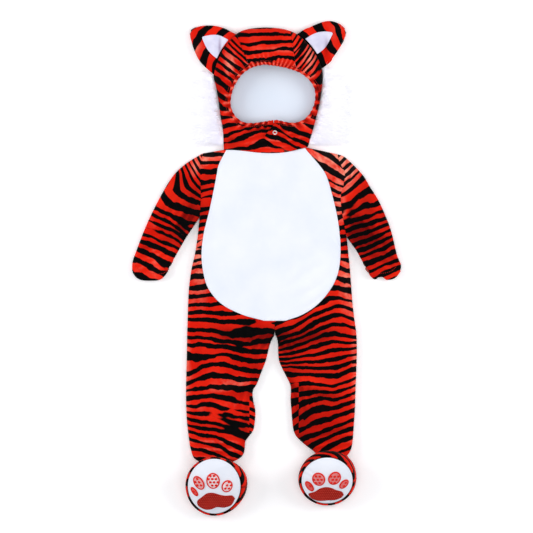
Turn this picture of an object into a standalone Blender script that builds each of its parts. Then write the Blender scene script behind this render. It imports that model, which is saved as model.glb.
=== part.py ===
"""Infant's tiger romper, laid flat on its back: metres, +Z up, +Y towards the hood.

The garment is cut from plush velour and lies in two layers: backs on the floor, fronts on the backs.
One outline of closed seams drives both layers. A layer's height at a point follows from how far the
point lies from that outline, so panels that meet at a seam agree there, and every piece is a wall
that is moved off the same surface. Tables and sizes are in millimetres.
"""

import math
from collections import namedtuple

import bpy
import numpy as np
from mathutils import Vector

MM = 0.001
WALL = 2.5  # plush velour
LINING_WALL = 1.6
PAD_WALL = 1.2
GAP = 0.3  # between pieces that are sewn together
HALF_GAP = GAP / 2

CENTRE_X = 14.9  # centre-front seam and crotch
CROTCH_Y = -119.5
NECK_LEFT = (-77.0, 212.5)
NECK_RIGHT = (74.0, 216.5)
SHOULDER_LEFT = (-115.4, 205.9)
SHOULDER_RIGHT = (128.7, 204.3)
UNDERARM_LEFT_Y = 90.0
UNDERARM_RIGHT_Y = 56.0
ANKLE_LEFT_Y = -349.0
ANKLE_RIGHT_Y = -337.0
BELLY_END_Y = -95.0
BACK_NECK_Y = 214.9
FACE_CENTRE = (12.0, 312.0)

# Height of the laid garment along its length: the side seam, the crest of the rolled edge beside it,
# and the middle, where the front lies on the back.
Height = namedtuple("Height", "y seam crest middle reach")
HEIGHTS = (
    Height(-352, 12.0, 25.0, 25.0, 20.0),
    Height(-325, 9.5, 19.0, 17.0, 24.0),
    Height(-280, 6.5, 12.3, 8.8, 28.0),
    Height(120, 6.5, 12.3, 8.5, 28.0),
    Height(212, 6.8, 13.0, 10.5, 30.0),
    Height(268, 12.5, 28.0, 34.0, 40.0),
    Height(330, 13.0, 30.0, 38.0, 42.0),
    Height(432, 13.0, 28.0, 36.0, 42.0),
)

# Outline of the torso and legs, a row for each section across it.
Section = namedtuple("Section", "y left right")
SIDES = (
    Section(206, -115.4, 128.4),
    Section(190, -118.3, 131.5),
    Section(171, -119.2, 141.0),
    Section(149, -119.0, 138.8),
    Section(129, -118.5, 134.2),
    Section(103, -119.6, 135.5),
    Section(90, -120.6, 138.0),
    Section(56, -124.0, 144.0),
    Section(24, -129.0, 147.5),
    Section(0, -134.5, 150.0),
    Section(-36, -139.5, 152.6),
    Section(-66, -141.0, 155.0),
    Section(-95, -142.0, 158.5),
    Section(-120, -142.8, 161.8),
    Section(-153, -143.3, 162.5),
    Section(-187, -144.2, 161.5),
    Section(-223, -144.9, 160.0),
    Section(-256, -144.3, 159.0),
    Section(-280, -142.8, 157.3),
    Section(-302, -140.2, 155.8),
    Section(-318, -138.0, 154.0),
    Section(-329, -135.4, 151.0),
    Section(-333, -134.4, 148.5),
    Section(-337, -133.0, 145.5),
    Section(-343, -129.5, 145.0),
    Section(-349, -119.0, 145.0),
)
INSEAMS = (
    Section(-119.5, 14.9, 14.9),
    Section(-126, 11.2, 18.9),
    Section(-138, 6.0, 20.7),
    Section(-152, 2.4, 21.0),
    Section(-166, -0.9, 22.4),
    Section(-180, -6.3, 27.9),
    Section(-194, -11.7, 35.1),
    Section(-209, -17.6, 42.4),
    Section(-221, -24.6, 43.8),
    Section(-238, -23.8, 43.3),
    Section(-256, -20.2, 44.8),
    Section(-274, -20.7, 46.2),
    Section(-291, -23.5, 48.4),
    Section(-302, -31.0, 53.1),
    Section(-311, -37.6, 61.5),
    Section(-320, -38.8, 72.0),
    Section(-329, -39.6, 84.0),
    Section(-337, -43.0, 91.0),
    Section(-343, -49.5, 91.0),
    Section(-349, -62.0, 91.0),
)
BELLY = (
    Section(212.5, -72.5, 71.4),
    Section(186, -86.0, 94.5),
    Section(170, -89.5, 105.9),
    Section(146, -94.1, 114.5),
    Section(102, -103.3, 125.6),
    Section(65, -112.5, 131.4),
    Section(27, -117.0, 133.2),
    Section(-8, -113.9, 128.9),
    Section(-38, -104.3, 115.8),
    Section(-65, -80.9, 92.6),
    Section(-84, -44.0, 65.0),
    Section(-95, -4.5, 34.5),
)

BELLY_TOP = (-72.5, 69.8)  # where the belly's sides meet the neckline

# Edges that don't run along the body, a point for each bend.
Point = namedtuple("Point", "x y")
NECKLINE = (
    Point(*NECK_LEFT), Point(-60, 212.4), Point(-40, 210.4), Point(-19, 208.0), Point(4.5, 206.6),
    Point(27.5, 207.4), Point(45, 210.6), Point(60, 213.9), Point(*NECK_RIGHT),
)
SLEEVE_LEFT_OUTER = (
    Point(*SHOULDER_LEFT), Point(-146.7, 186.3), Point(-170.1, 162.9), Point(-195.3, 120.1),
    Point(-216.9, 75.1), Point(-234.4, 30.2), Point(-241.0, 10.8), Point(-241.7, -4.0),
)
SLEEVE_LEFT_INNER = (
    Point(-120.6, UNDERARM_LEFT_Y), Point(-134.8, 69.3), Point(-144.9, 54.0), Point(-154.4, 37.8),
    Point(-166.5, 16.2), Point(-177.8, -4.0),
)
SLEEVE_RIGHT_OUTER = (
    Point(*SHOULDER_RIGHT), Point(142.7, 198.0), Point(171.9, 168.8), Point(186.3, 145.8),
    Point(203.2, 118.1), Point(222.8, 71.1), Point(234.5, 24.3), Point(241.8, 6.7), Point(241.4, -2.0),
)
SLEEVE_RIGHT_INNER = (
    Point(144.0, UNDERARM_RIGHT_Y), Point(153.0, 43.2), Point(162.2, 30.2), Point(171.9, 12.6),
    Point(181.8, -4.0),
)
HOOD_EDGE = (
    Point(*NECK_LEFT), Point(-78.3, 246), Point(-83.2, 276), Point(-87.0, 304), Point(-91.0, 327),
    Point(-95.0, 347), Point(-87.3, 374.4), Point(-73.5, 399.6), Point(-54.9, 420), Point(-36.9, 428.6),
    Point(-12.0, 432.0), Point(12.0, 431.8), Point(36.0, 428.2), Point(56.7, 419.0), Point(73.5, 404.0),
    Point(89.0, 383.4), Point(99.0, 361.0), Point(101.0, 337.5), Point(96.3, 299), Point(89.1, 269),
    Point(81.9, 242), Point(*NECK_RIGHT),
)
FACE_OPENING = (
    Point(-3.4, 363.6), Point(18.9, 360.5), Point(38.7, 356.4), Point(60.3, 348.5), Point(76.5, 335.5),
    Point(85.0, 320.4), Point(86.0, 304.0), Point(81.9, 288.0), Point(73.0, 273.6), Point(60.3, 264.6),
    Point(45.9, 261.8), Point(31.5, 263.7), Point(16.0, 266.8), Point(-8.1, 263.4), Point(-26.1, 261.0),
    Point(-42.3, 263.4), Point(-54.9, 273.6), Point(-62.1, 288.0), Point(-63.0, 302.4),
    Point(-58.5, 320.4), Point(-50.5, 336.0), Point(-40.5, 348.6), Point(-24.0, 358.8),
)

# Soft troughs (depth above 0) and ridges pressed into the front layer.
Fold = namedtuple("Fold", "x y turn length width depth")
FOLDS = (
    Fold(-134, 120, 62, 48, 10, 2.4),
    Fold(-160, 92, 50, 42, 11, -2.0),
    Fold(-176, 70, 12, 34, 9, 2.2),
    Fold(-198, 44, 20, 36, 10, 2.0),
    Fold(160, 96, 118, 52, 10, 2.4),
    Fold(186, 84, 146, 40, 11, -2.0),
    Fold(196, 52, 162, 36, 9, 2.2),
    Fold(214, 20, 155, 30, 9, 1.8),
    Fold(-40, -128, 165, 60, 11, 2.2),
    Fold(70, -132, 16, 60, 11, 2.2),
    Fold(-60, -212, 12, 46, 12, -2.4),
    Fold(-52, -226, 8, 60, 9, 2.4),
    Fold(74, -206, 168, 52, 12, -2.2),
    Fold(82, -222, 164, 56, 9, 2.4),
    Fold(-96, -286, 172, 52, 10, 2.0),
    Fold(112, -296, 20, 48, 10, 2.2),
    Fold(30, 232, 172, 46, 12, 2.4),
    Fold(-44, 232, 20, 34, 10, 2.4),
)

# Radial gathers of the hood towards the elastic casing, by the span of angles that they fill.
Gathers = namedtuple("Gathers", "start stop count depth")
GATHERS = (
    Gathers(48, 131, 12, 1.1),
    Gathers(131, 262, 12, 1.6),
    Gathers(-80, 48, 10, 1.4),
)
GATHER_LENGTH = 26.0
CASING_RADIUS = 2.9
CASING_WAVES = 36
CASING_START = -86.0
CASING_STOP = 269.5
LINING_INSET = 13.0
LINING_LIFT = 0.7
EAR_WALL = 2.0

# The crown strip's seams, as angles round the face centre at the hood's edge and at the opening.
CROWN_EDGE = (74.6, 121.5)
CROWN_RIM = (48.0, 130.8)
LEFT_END = (281.0, 288.0)
FLAP_END = (-102.4, -86.6)
FLAP_START = -73.6
FLAP_SHORTENED = 0.255
FLAP_CLEARANCE = 1.2  # between the flap and the side that it laps over
SNAP_AT = (15.3, 245.7)
SNAP_RADIUS = 3.3
SNAP_WIRE = 1.0

Ear = namedtuple("Ear", "name upper lower")
EARS = (
    Ear(
        "left",
        (Point(-55.4, 420.6), Point(-80.1, 432.6), Point(-103.5, 436.1), Point(-123.3, 433.8), Point(-135.6, 427.6)),
        (Point(-95.6, 347.6), Point(-108.9, 359.5), Point(-121.2, 373.5), Point(-132.3, 397.8), Point(-137.2, 421.5)),
    ),
    Ear(
        "right",
        (Point(57.4, 419.5), Point(81.9, 434.7), Point(107.8, 443.9), Point(126.9, 441.0), Point(140.2, 430.6)),
        (Point(99.6, 361.4), Point(116.1, 374.4), Point(130.5, 394.2), Point(139.5, 410.4), Point(142.4, 424.0)),
    ),
)
EAR_ROOT_Z = 13.0
EAR_TIP_Z = 8.0
EAR_ROLL = 5.0
EAR_PLEAT = 2.2

# The mane, a row for each tuft: where it leaves the hood's edge, and where its tip lies.
Tuft = namedtuple("Tuft", "root_y tip_x tip_y")
MANES = {
    "left": (
        Tuft(344, -119, 365), Tuft(337, -129, 357), Tuft(329, -125, 343), Tuft(320, -131, 333),
        Tuft(310, -124, 318), Tuft(300, -130, 306), Tuft(290, -124, 293), Tuft(280, -132, 282),
        Tuft(270, -126, 270), Tuft(260, -131, 258), Tuft(250, -125, 246), Tuft(240, -128, 233),
        Tuft(230, -119, 223), Tuft(223, -106, 217),
    ),
    "right": (
        Tuft(357, 115, 368), Tuft(350, 127, 362), Tuft(341, 124, 350), Tuft(332, 135, 344),
        Tuft(322, 131, 330), Tuft(312, 142, 320), Tuft(302, 136, 306), Tuft(292, 144, 294),
        Tuft(282, 136, 280), Tuft(272, 140, 267), Tuft(261, 133, 254), Tuft(250, 140, 242),
        Tuft(240, 134, 231), Tuft(231, 143, 223), Tuft(224, 116, 217),
    ),
}
# Section of a tuft, from the root outwards and back along the floor: share of its reach, and height.
TuftPoint = namedtuple("TuftPoint", "share z")
TUFT_SECTION = (
    TuftPoint(0.0, 4.0), TuftPoint(0.0, 17.0), TuftPoint(0.28, 23.0), TuftPoint(0.62, 17.0),
    TuftPoint(0.9, 9.0), TuftPoint(1.0, 4.0), TuftPoint(0.88, 0.0), TuftPoint(0.12, 0.0),
)

# A bootie stands on its heel with its toes up. Its sole is an ellipse in plan, and its upper swells out
# past the sole by a different amount on each side.
Bootie = namedtuple(
    "Bootie",
    "name x y half_width half_length heel_z toe_z left right toe heel ankle_x ankle_half ankle_y",
)
BOOTIES = (
    Bootie("left", -93.8, -391.4, 48.0, 50.8, 17.0, 60.0, 1.0, 8.0, 0.5, 1.6, -90.5, 28.5, ANKLE_LEFT_Y),
    Bootie("right", 108.6, -381.2, 46.6, 42.6, 19.0, 60.0, 3.0, 3.0, 9.0, 1.0, 118.25, 27.25, ANKLE_RIGHT_Y),
)
SOLE_DOME = 11.0
PAD_LIFT = 0.5  # of a pad off the curved sole

Pad = namedtuple("Pad", "foot number x y half_width half_length turn")
TOE_PADS = (
    Pad("left", 1, -129.4, -401.0, 5.0, 10.6, 36),
    Pad("left", 2, -121.2, -384.9, 9.2, 14.4, 33),
    Pad("left", 3, -95.6, -381.1, 12.8, 15.0, 4),
    Pad("left", 4, -70.4, -391.0, 10.2, 12.0, -28),
    Pad("right", 1, 76.9, -391.4, 6.2, 11.6, 38),
    Pad("right", 2, 93.3, -378.3, 12.0, 13.0, 38),
    Pad("right", 3, 121.9, -376.6, 11.4, 13.4, -40),
    Pad("right", 4, 139.0, -387.4, 6.8, 11.0, -45),
)
MAIN_PADS = (
    Pad("left", 0, -90.6, -418.6, 35.0, 16.2, 0),
    Pad("right", 0, 106.4, -405.8, 33.0, 13.4, 0),
)
# Outline of a main pad, in halves of its width and length: a hump towards the toes and a notch at the heel.
PadPoint = namedtuple("PadPoint", "across along")
PAW_OUTLINES = {
    "left": (
        PadPoint(1.0, 0.3), PadPoint(0.84, 0.68), PadPoint(0.5, 0.66), PadPoint(0.2, 0.78),
        PadPoint(-0.12, 0.98), PadPoint(-0.45, 0.94), PadPoint(-0.74, 0.5), PadPoint(-0.98, 0.0),
        PadPoint(-0.92, -0.55), PadPoint(-0.6, -0.95), PadPoint(-0.26, -0.96), PadPoint(0.06, -0.7),
        PadPoint(0.42, -0.76), PadPoint(0.8, -0.46),
    ),
    "right": (
        PadPoint(1.0, -0.1), PadPoint(0.88, 0.36), PadPoint(0.54, 0.62), PadPoint(0.3, 0.9),
        PadPoint(0.0, 1.0), PadPoint(-0.32, 0.82), PadPoint(-0.62, 0.36), PadPoint(-0.95, 0.06),
        PadPoint(-0.86, -0.5), PadPoint(-0.55, -0.9), PadPoint(-0.25, -0.98), PadPoint(0.1, -0.9),
        PadPoint(0.45, -0.88), PadPoint(0.82, -0.58),
    ),
}

VELOUR = ("striped_velour", (0.72, 0.05, 0.02, 1), 0.85)
WHITE_PLUSH = ("white_plush", (0.88, 0.90, 0.95, 1), 0.8)
LINING = ("lining", (0.80, 0.86, 0.94, 1), 0.7)
SATIN = ("ear_satin", (0.84, 0.84, 0.92, 1), 0.5)
FUR = ("white_fur", (0.90, 0.91, 0.95, 1), 0.9)
PAW_RED = ("paw_print", (0.62, 0.03, 0.02, 1), 0.6)
SNAP_METAL = ("snap_metal", (0.85, 0.85, 0.86, 1), 0.3)


def smooth(t):
    t = np.clip(t, 0.0, 1.0)
    return t * t * (3.0 - 2.0 * t)


def roll(distance, radius):
    """Rise of a quarter circle: 0 at the edge, 1 from radius on."""
    return np.sqrt(1.0 - (1.0 - np.clip(distance / radius, 0.0, 1.0)) ** 2)


def spline(points, count=96):
    """Points along a smooth curve through the given ones, evenly spaced."""
    p = np.array(points, float)
    p = np.vstack([2 * p[0] - p[1], p, 2 * p[-1] - p[-2]])
    made = []
    for a, b, c, d in zip(p, p[1:], p[2:], p[3:]):
        for t in np.arange(8) / 8:
            made.append(
                b + 0.5 * t * (c - a + t * (2 * a - 5 * b + 4 * c - d + t * (3 * (b - c) + d - a)))
            )
    made = np.array(made + [p[-2]])
    run = np.r_[0.0, np.cumsum(np.linalg.norm(np.diff(made, axis=0), axis=1))]
    wanted = np.linspace(0.0, run[-1], count)
    return np.column_stack([np.interp(wanted, run, made[:, k]) for k in range(made.shape[1])])


def column(sections, name):
    """Smooth (x, y) line down one column of a table of sections."""
    return spline([(getattr(s, name), s.y) for s in sections])


def x_at(line, y):
    order = np.argsort(line[:, 1])
    return np.interp(y, line[order, 1], line[order, 0])


SIDE_LEFT = column(SIDES, "left")
SIDE_RIGHT = column(SIDES, "right")
INSEAM_LEFT = column(INSEAMS, "left")
INSEAM_RIGHT = column(INSEAMS, "right")
BELLY_LEFT = column(BELLY, "left")
BELLY_RIGHT = column(BELLY, "right")
OUTER_LEFT = spline(SLEEVE_LEFT_OUTER)
INNER_LEFT = spline(SLEEVE_LEFT_INNER)
OUTER_RIGHT = spline(SLEEVE_RIGHT_OUTER)
INNER_RIGHT = spline(SLEEVE_RIGHT_INNER)
NECK_LINE = spline(NECKLINE)
HOOD_LINE = spline(HOOD_EDGE, 160)


def below(line, y, x_there):
    """The part of a line below y, starting exactly there."""
    return np.vstack([[x_there, y], line[line[:, 1] < y - 1e-6]])


# The closed outline. hand is 1 where the outside is on the left of the line's run, and -1 on its right.
Closed = namedtuple("Closed", "line hand")
CLOSED = (
    Closed(below(SIDE_LEFT, UNDERARM_LEFT_Y, x_at(SIDE_LEFT, UNDERARM_LEFT_Y)), -1),
    Closed(below(SIDE_RIGHT, UNDERARM_RIGHT_Y, x_at(SIDE_RIGHT, UNDERARM_RIGHT_Y)), 1),
    Closed(INSEAM_LEFT, 1),
    Closed(INSEAM_RIGHT, -1),
    Closed(OUTER_LEFT, -1),
    Closed(INNER_LEFT, 1),
    Closed(OUTER_RIGHT, 1),
    Closed(INNER_RIGHT, -1),
    Closed(np.array([SHOULDER_LEFT, NECK_LEFT]), 1),
    Closed(np.array([SHOULDER_RIGHT, NECK_RIGHT]), -1),
    Closed(HOOD_LINE, 1),
)
CLOSED_LINES = [closed.line for closed in CLOSED]


def distance(plan, lines):
    """Distance in plan from each point to the nearest of some lines."""
    starts = np.vstack([line[:-1] for line in lines])
    steps = np.vstack([np.diff(line, axis=0) for line in lines])
    flat = plan.reshape(-1, 1, 2)
    along = ((flat - starts) * steps).sum(-1) / (steps**2).sum(-1)
    nearest = starts + np.clip(along, 0.0, 1.0)[..., None] * steps
    return np.linalg.norm(flat - nearest, axis=-1).min(axis=1).reshape(plan.shape[:-1])


def heights(y):
    """Seam, crest, middle and reach at y."""
    ys = [h.y for h in HEIGHTS]
    found = []
    for name in ("seam", "crest", "middle", "reach"):
        found.append(np.interp(y, ys, [getattr(h, name) for h in HEIGHTS]))
    return found


def polar(plan):
    away = plan - np.array(FACE_CENTRE)
    angle = np.degrees(np.arctan2(away[..., 1], away[..., 0]))
    return np.where(angle < -80.0, angle + 360.0, angle), np.linalg.norm(away, axis=-1)


def contour(line):
    """Radius round the face centre as a function of the angle in degrees."""
    angle, radius = polar(line)
    order = np.argsort(angle)
    angle, radius = angle[order], radius[order]
    angle = np.r_[angle - 360.0, angle, angle + 360.0]
    radius = np.tile(radius, 3)
    return lambda wanted: np.interp(wanted, angle, radius)


HOOD_RADIUS = contour(np.vstack([HOOD_LINE, NECK_LINE[::-1]]))
FACE_RADIUS = contour(spline(FACE_OPENING + FACE_OPENING[:1], 160))


def gathers(plan):
    """Depth of the radial gathers, which fade out away from the face opening."""
    angle, radius = polar(plan)
    fade = 1.0 - smooth((radius - FACE_RADIUS(angle)) / GATHER_LENGTH)
    depth = np.zeros_like(angle)
    for g in GATHERS:
        inside = (angle >= g.start) & (angle < g.stop)
        wave = 0.5 - 0.5 * np.cos(2 * np.pi * g.count * (angle - g.start) / (g.stop - g.start))
        depth = np.where(inside, g.depth * wave, depth)
    return depth * fade * (plan[..., 1] > BACK_NECK_Y)


def folds(plan):
    depth = np.zeros(plan.shape[:-1])
    for f in FOLDS:
        turn = math.radians(f.turn)
        away = plan - np.array([f.x, f.y])
        along = away[..., 0] * math.cos(turn) + away[..., 1] * math.sin(turn)
        across = away[..., 1] * math.cos(turn) - away[..., 0] * math.sin(turn)
        depth += f.depth * np.exp(-((along / f.length) ** 4) - (across / f.width) ** 2)
    return depth


def top(plan):
    """Height of the front layer's outer face."""
    seam, crest, middle, reach = heights(plan[..., 1])
    away = distance(plan, CLOSED_LINES)
    edge = crest - seam
    dip = (middle - crest) * smooth((away - edge) / reach)
    pressed = (folds(plan) + gathers(plan)) * smooth(away / 12.0)
    return seam + edge * roll(away, edge) + dip - pressed


def bottom(plan):
    """Height of the back layer's outer face, flat on the floor but for its rolled edge."""
    seam = heights(plan[..., 1])[0]
    return seam * (1.0 - roll(distance(plan, CLOSED_LINES), seam))


def slope_normals(surface, plan, sign):
    """Unit normals of a height field, facing up for sign 1 and down for -1."""
    step = 0.4
    dx = (surface(plan + [step, 0]) - surface(plan - [step, 0])) / (2 * step)
    dy = (surface(plan + [0, step]) - surface(plan - [0, step])) / (2 * step)
    normals = np.stack([-dx, -dy, np.ones_like(dx)], axis=-1) * sign
    return normals / np.linalg.norm(normals, axis=-1, keepdims=True)


def grid_normals(points, wrap):
    """Unit normals of a grid, from its rows and columns."""
    if wrap:
        across = np.roll(points, -1, axis=1) - np.roll(points, 1, axis=1)
    else:
        across = np.gradient(points, axis=1)
    normals = np.cross(across, np.gradient(points, axis=0))
    return normals / np.maximum(np.linalg.norm(normals, axis=-1, keepdims=True), 1e-9)


def without(normals, axis):
    """The same directions, with their share along one axis taken out."""
    kept = normals.copy()
    kept[..., axis] = 0.0
    return kept / np.maximum(np.linalg.norm(kept, axis=-1, keepdims=True), 1e-9)


# Corners of the closed outline, each with the direction out of the garment along the seam that ends there.
Corner = namedtuple("Corner", "x y out_x out_y")


def round_face(angle, radius):
    turn = np.radians(angle)
    return np.array(FACE_CENTRE) + np.stack([np.cos(turn), np.sin(turn)], axis=-1) * np.expand_dims(radius, -1)


def crown_corner(edge_angle, rim_angle):
    edge = round_face(edge_angle, HOOD_RADIUS(edge_angle))
    rim = round_face(rim_angle, FACE_RADIUS(rim_angle) + 2 * CASING_RADIUS)
    return Corner(*edge, *(edge - rim))


CORNERS = (
    Corner(*SHOULDER_LEFT, 0.12, 0.99),
    Corner(*SHOULDER_RIGHT, -0.1, 0.99),
    Corner(x_at(SIDE_LEFT, UNDERARM_LEFT_Y), UNDERARM_LEFT_Y, -0.07, -1.0),
    Corner(x_at(SIDE_RIGHT, UNDERARM_RIGHT_Y), UNDERARM_RIGHT_Y, 0.14, -0.99),
    Corner(*NECK_LEFT, -1.0, 0.0),
    Corner(*NECK_RIGHT, 0.99, 0.12),
    *(crown_corner(edge, rim) for edge, rim in zip(CROWN_EDGE, CROWN_RIM)),
)


def outline_normal(point):
    """Direction out of the garment at a point of its closed outline, shared by all that meets there."""
    for corner in CORNERS:
        if math.hypot(point[0] - corner.x, point[1] - corner.y) < 0.2:
            return without(np.array([corner.out_x, corner.out_y, 0.0]), 2)
    total = np.zeros(2)
    for closed in CLOSED:
        starts, steps = closed.line[:-1], np.diff(closed.line, axis=0)
        along = ((point - starts) * steps).sum(-1) / (steps**2).sum(-1)
        near = np.linalg.norm(point - starts - np.clip(along, 0, 1)[:, None] * steps, axis=-1) < 0.05
        out = np.column_stack([-steps[:, 1], steps[:, 0]]) * closed.hand
        total += (out / np.linalg.norm(out, axis=1)[:, None])[near].sum(0)
    return np.append(total / np.linalg.norm(total), 0.0)


def material(look):
    name, colour, roughness = look
    made = bpy.data.materials.get(name)
    if made is None:
        made = bpy.data.materials.new(name)
        made.use_nodes = True
        shader = made.node_tree.nodes["Principled BSDF"]
        shader.inputs["Base Color"].default_value = colour
        shader.inputs["Roughness"].default_value = roughness
        shader.inputs["Metallic"].default_value = 1.0 if look is SNAP_METAL else 0.0
        made.diffuse_color = colour
    return made


def add_object(name, points, faces, look):
    mesh = bpy.data.meshes.new(name)
    mesh.from_pydata((np.asarray(points) * MM).tolist(), [], faces)
    mesh.validate()
    mesh.shade_smooth()
    mesh.set_sharp_from_angle(angle=math.radians(50))
    mesh.materials.append(material(look))
    made = bpy.data.objects.new(name, mesh)
    bpy.context.scene.collection.objects.link(made)
    return made


def strip_faces(first, second, closed):
    """Quads between two equally long runs of vertex numbers."""
    count = len(first) if closed else len(first) - 1
    faces = []
    for i in range(count):
        j = (i + 1) % len(first)
        faces.append((first[i], first[j], second[j], second[i]))
    return faces


def wall(name, outer, inner, look, outward=1, wrap=False, capped=False):
    """Closed body between two matching grids. wrap joins the last column to the first, capped closes
    the last row of a wrapped grid."""
    rows, columns = outer.shape[:2]
    numbers = np.arange(rows * columns).reshape(rows, columns)
    under = numbers + rows * columns
    faces = []
    for i in range(rows - 1):
        faces += strip_faces(numbers[i], numbers[i + 1], wrap)
        faces += [face[::-1] for face in strip_faces(under[i], under[i + 1], wrap)]
    faces += strip_faces(under[0], numbers[0], wrap)
    if capped:
        faces.append(tuple(numbers[-1]))
        faces.append(tuple(under[-1][::-1]))
    else:
        faces += strip_faces(numbers[-1], under[-1], wrap)
    if not wrap:
        faces += strip_faces(numbers[:, 0], under[:, 0], False)
        faces += strip_faces(under[:, -1], numbers[:, -1], False)
    faces = [tuple(int(n) for n in (face if outward > 0 else face[::-1])) for face in faces]
    points = np.vstack([outer.reshape(-1, 3), inner.reshape(-1, 3)])
    return add_object(name, points, faces, look)


def inset(plan, masks, normals, closed):
    """The plan grid with each seam border moved in by half a gap, and its normals squared off there, so
    that both pieces of a seam end in the same plane. masks name borders: first_row, last_row,
    first_column and last_column, each with a mask along it."""
    moved = plan.copy()
    normals = normals.copy()
    places = {
        "first_row": ((0, slice(None)), (1, slice(None))),
        "last_row": ((-1, slice(None)), (-2, slice(None))),
        "first_column": ((slice(None), 0), (slice(None), 1)),
        "last_column": ((slice(None), -1), (slice(None), -2)),
    }
    for name, mask in masks.items():
        border, inside = places[name]
        tangent = np.gradient(plan[border], axis=0)
        away = np.stack([-tangent[:, 1], tangent[:, 0]], axis=-1)
        away /= np.maximum(np.linalg.norm(away, axis=-1, keepdims=True), 1e-9)
        sign = np.sign(((plan[inside] - plan[border]) * away).sum(-1, keepdims=True))
        mask = np.asarray(mask, bool)
        moved[border] += away * sign * HALF_GAP * mask[:, None]
        across = (normals[border][:, :2] * away).sum(-1) * (mask & ~closed[border])
        normals[border][:, :2] -= away * across[:, None]
    return moved, normals / np.linalg.norm(normals, axis=-1, keepdims=True)


def panel(name, plan, closed, seams, look=VELOUR, upper=True, lift=0.0, thick=WALL):
    """One cut piece of the front (upper) or back layer. plan is its grid in plan, closed marks the
    points on the garment's outline, where the layers meet at the side seam, and seams the borders
    that are sewn to a neighbour in the same layer. lift moves the piece off the layer's face."""
    surface, sign = (top, 1) if upper else (bottom, -1)
    z = surface(plan)
    points = np.dstack([plan, z])
    normals = slope_normals(surface, plan, sign)
    turned = np.sign((grid_normals(points, False) * normals).sum(-1).mean())
    for i, j in zip(*np.nonzero(closed)):
        normals[i, j] = outline_normal(plan[i, j])
        points[i, j, 2] = heights(plan[i, j, 1])[0] + sign * HALF_GAP
    points[..., :2], normals = inset(plan, seams, normals, closed)
    raised = normals * np.asarray(lift, float)[..., None]
    return wall(name, points + raised, points + raised - normals * thick, look, turned)


def spread(width, closed_start, closed_end, inner):
    """Offsets across a row: two narrow steps at a rolled edge, even ones between."""
    narrow = min(1.0, width / 30.0)
    start = np.array([0.0, 1.6, 6.5]) * narrow if closed_start else np.linspace(0, width, inner + 6)[:3]
    end = width - np.array([6.5, 1.6, 0.0]) * narrow if closed_end else np.linspace(0, width, inner + 6)[-3:]
    middle = np.linspace(start[-1], end[0], inner + 2)[1:-1]
    return np.r_[start, middle, end]


def levels(start, stop, count):
    return list(np.linspace(start, stop, count))


ARM_INNER = 5
ARM_ROWS = ARM_INNER + 6
ARM_BLEND = 50.0  # over this height the columns of a front draw together towards the underarm


def arm_levels(shoulder_y, underarm_y):
    return [shoulder_y - step for step in spread(shoulder_y - underarm_y, True, True, ARM_INNER)]


LEG_STEPS = (-121.5, -127, -140, -158, -178, -198, -214, -230, -250, -270, -288, -302, -313, -322)
BELLY_STEPS = (0.18, 0.38, 0.56, 0.72, 0.84, 0.93, 1.0)
SEAT_LEVELS = (-95.6, -103.0, -110.0, -115.5, -118.2, CROTCH_Y)


def body_levels(shoulder_y, underarm_y, ankle_y):
    rows = arm_levels(shoulder_y, underarm_y)
    rows += [underarm_y + (BELLY_END_Y - underarm_y) * share for share in BELLY_STEPS]
    rows += SEAT_LEVELS
    rows += [y for y in LEG_STEPS if y > ankle_y + 12] + levels(ankle_y + 10, ankle_y, 4)
    return np.array(rows)


def row_points(start, end, offsets):
    start, end = np.array(start), np.array(end)
    shares = offsets / offsets[-1]
    return start + (end - start) * shares[:, None]


BELLY_ROWS = ARM_ROWS + len(BELLY_STEPS)


def neckline_point(x):
    return np.array([x, np.interp(x, NECK_LINE[:, 0], NECK_LINE[:, 1])])


def half_body(side, inseam, belly, neck, shoulder, underarm_y, ankle_y, inner, front):
    """Plan grid of a front or back, from its side seam inwards, with its closed points."""
    rows = body_levels(shoulder[1], underarm_y, ankle_y)
    if not front:
        keep = [i for i, y in enumerate(rows) if i < ARM_ROWS or i % 2 == 0 or y in (CROTCH_Y, ankle_y)]
        rows = rows[keep]
    plan, closed = [], []
    for i, y in enumerate(rows):
        start = (x_at(side, y), y) if i else shoulder
        legs = y <= CROTCH_Y
        if legs:
            end = (x_at(inseam, y), y)
        elif front and y >= BELLY_END_Y:
            end = (x_at(belly, y), y) if i else neck
        else:
            end = (CENTRE_X, y)
        shut_start = y <= underarm_y or i == 0
        width = abs(end[0] - start[0])
        seat = 1.0 if legs else smooth((BELLY_END_Y - y) / (BELLY_END_Y - CROTCH_Y))
        arm = 1.0 if shut_start else smooth(1.0 - (y - underarm_y) / ARM_BLEND)
        open_end = spread(width, True, False, inner) * arm + spread(width, False, False, inner) * (1 - arm)
        shut_end = spread(width, True, True, inner) * arm + spread(width, False, True, inner) * (1 - arm)
        offsets = shut_end * seat + open_end * (1 - seat)
        plan.append(row_points(start, end, offsets))
        flags = np.zeros(len(offsets), bool)
        flags[0] = shut_start
        flags[-1] = legs
        closed.append(flags)
    plan, closed = np.array(plan), np.array(closed)
    if front:
        plan[0, :-1] = row_points(shoulder, neck, np.arange(plan.shape[1] - 1))
        plan[0, -1] = neckline_point(BELLY_TOP[0] if neck[0] < CENTRE_X else BELLY_TOP[1])
        closed[0, :-1] = True
        plan[BELLY_ROWS, -1, 0] += HALF_GAP * np.sign(neck[0] - CENTRE_X)
    return rows, plan, closed


SHOULDER_SHARE = 0.4  # of a back's first row, the rest of which is its neckline


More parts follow.
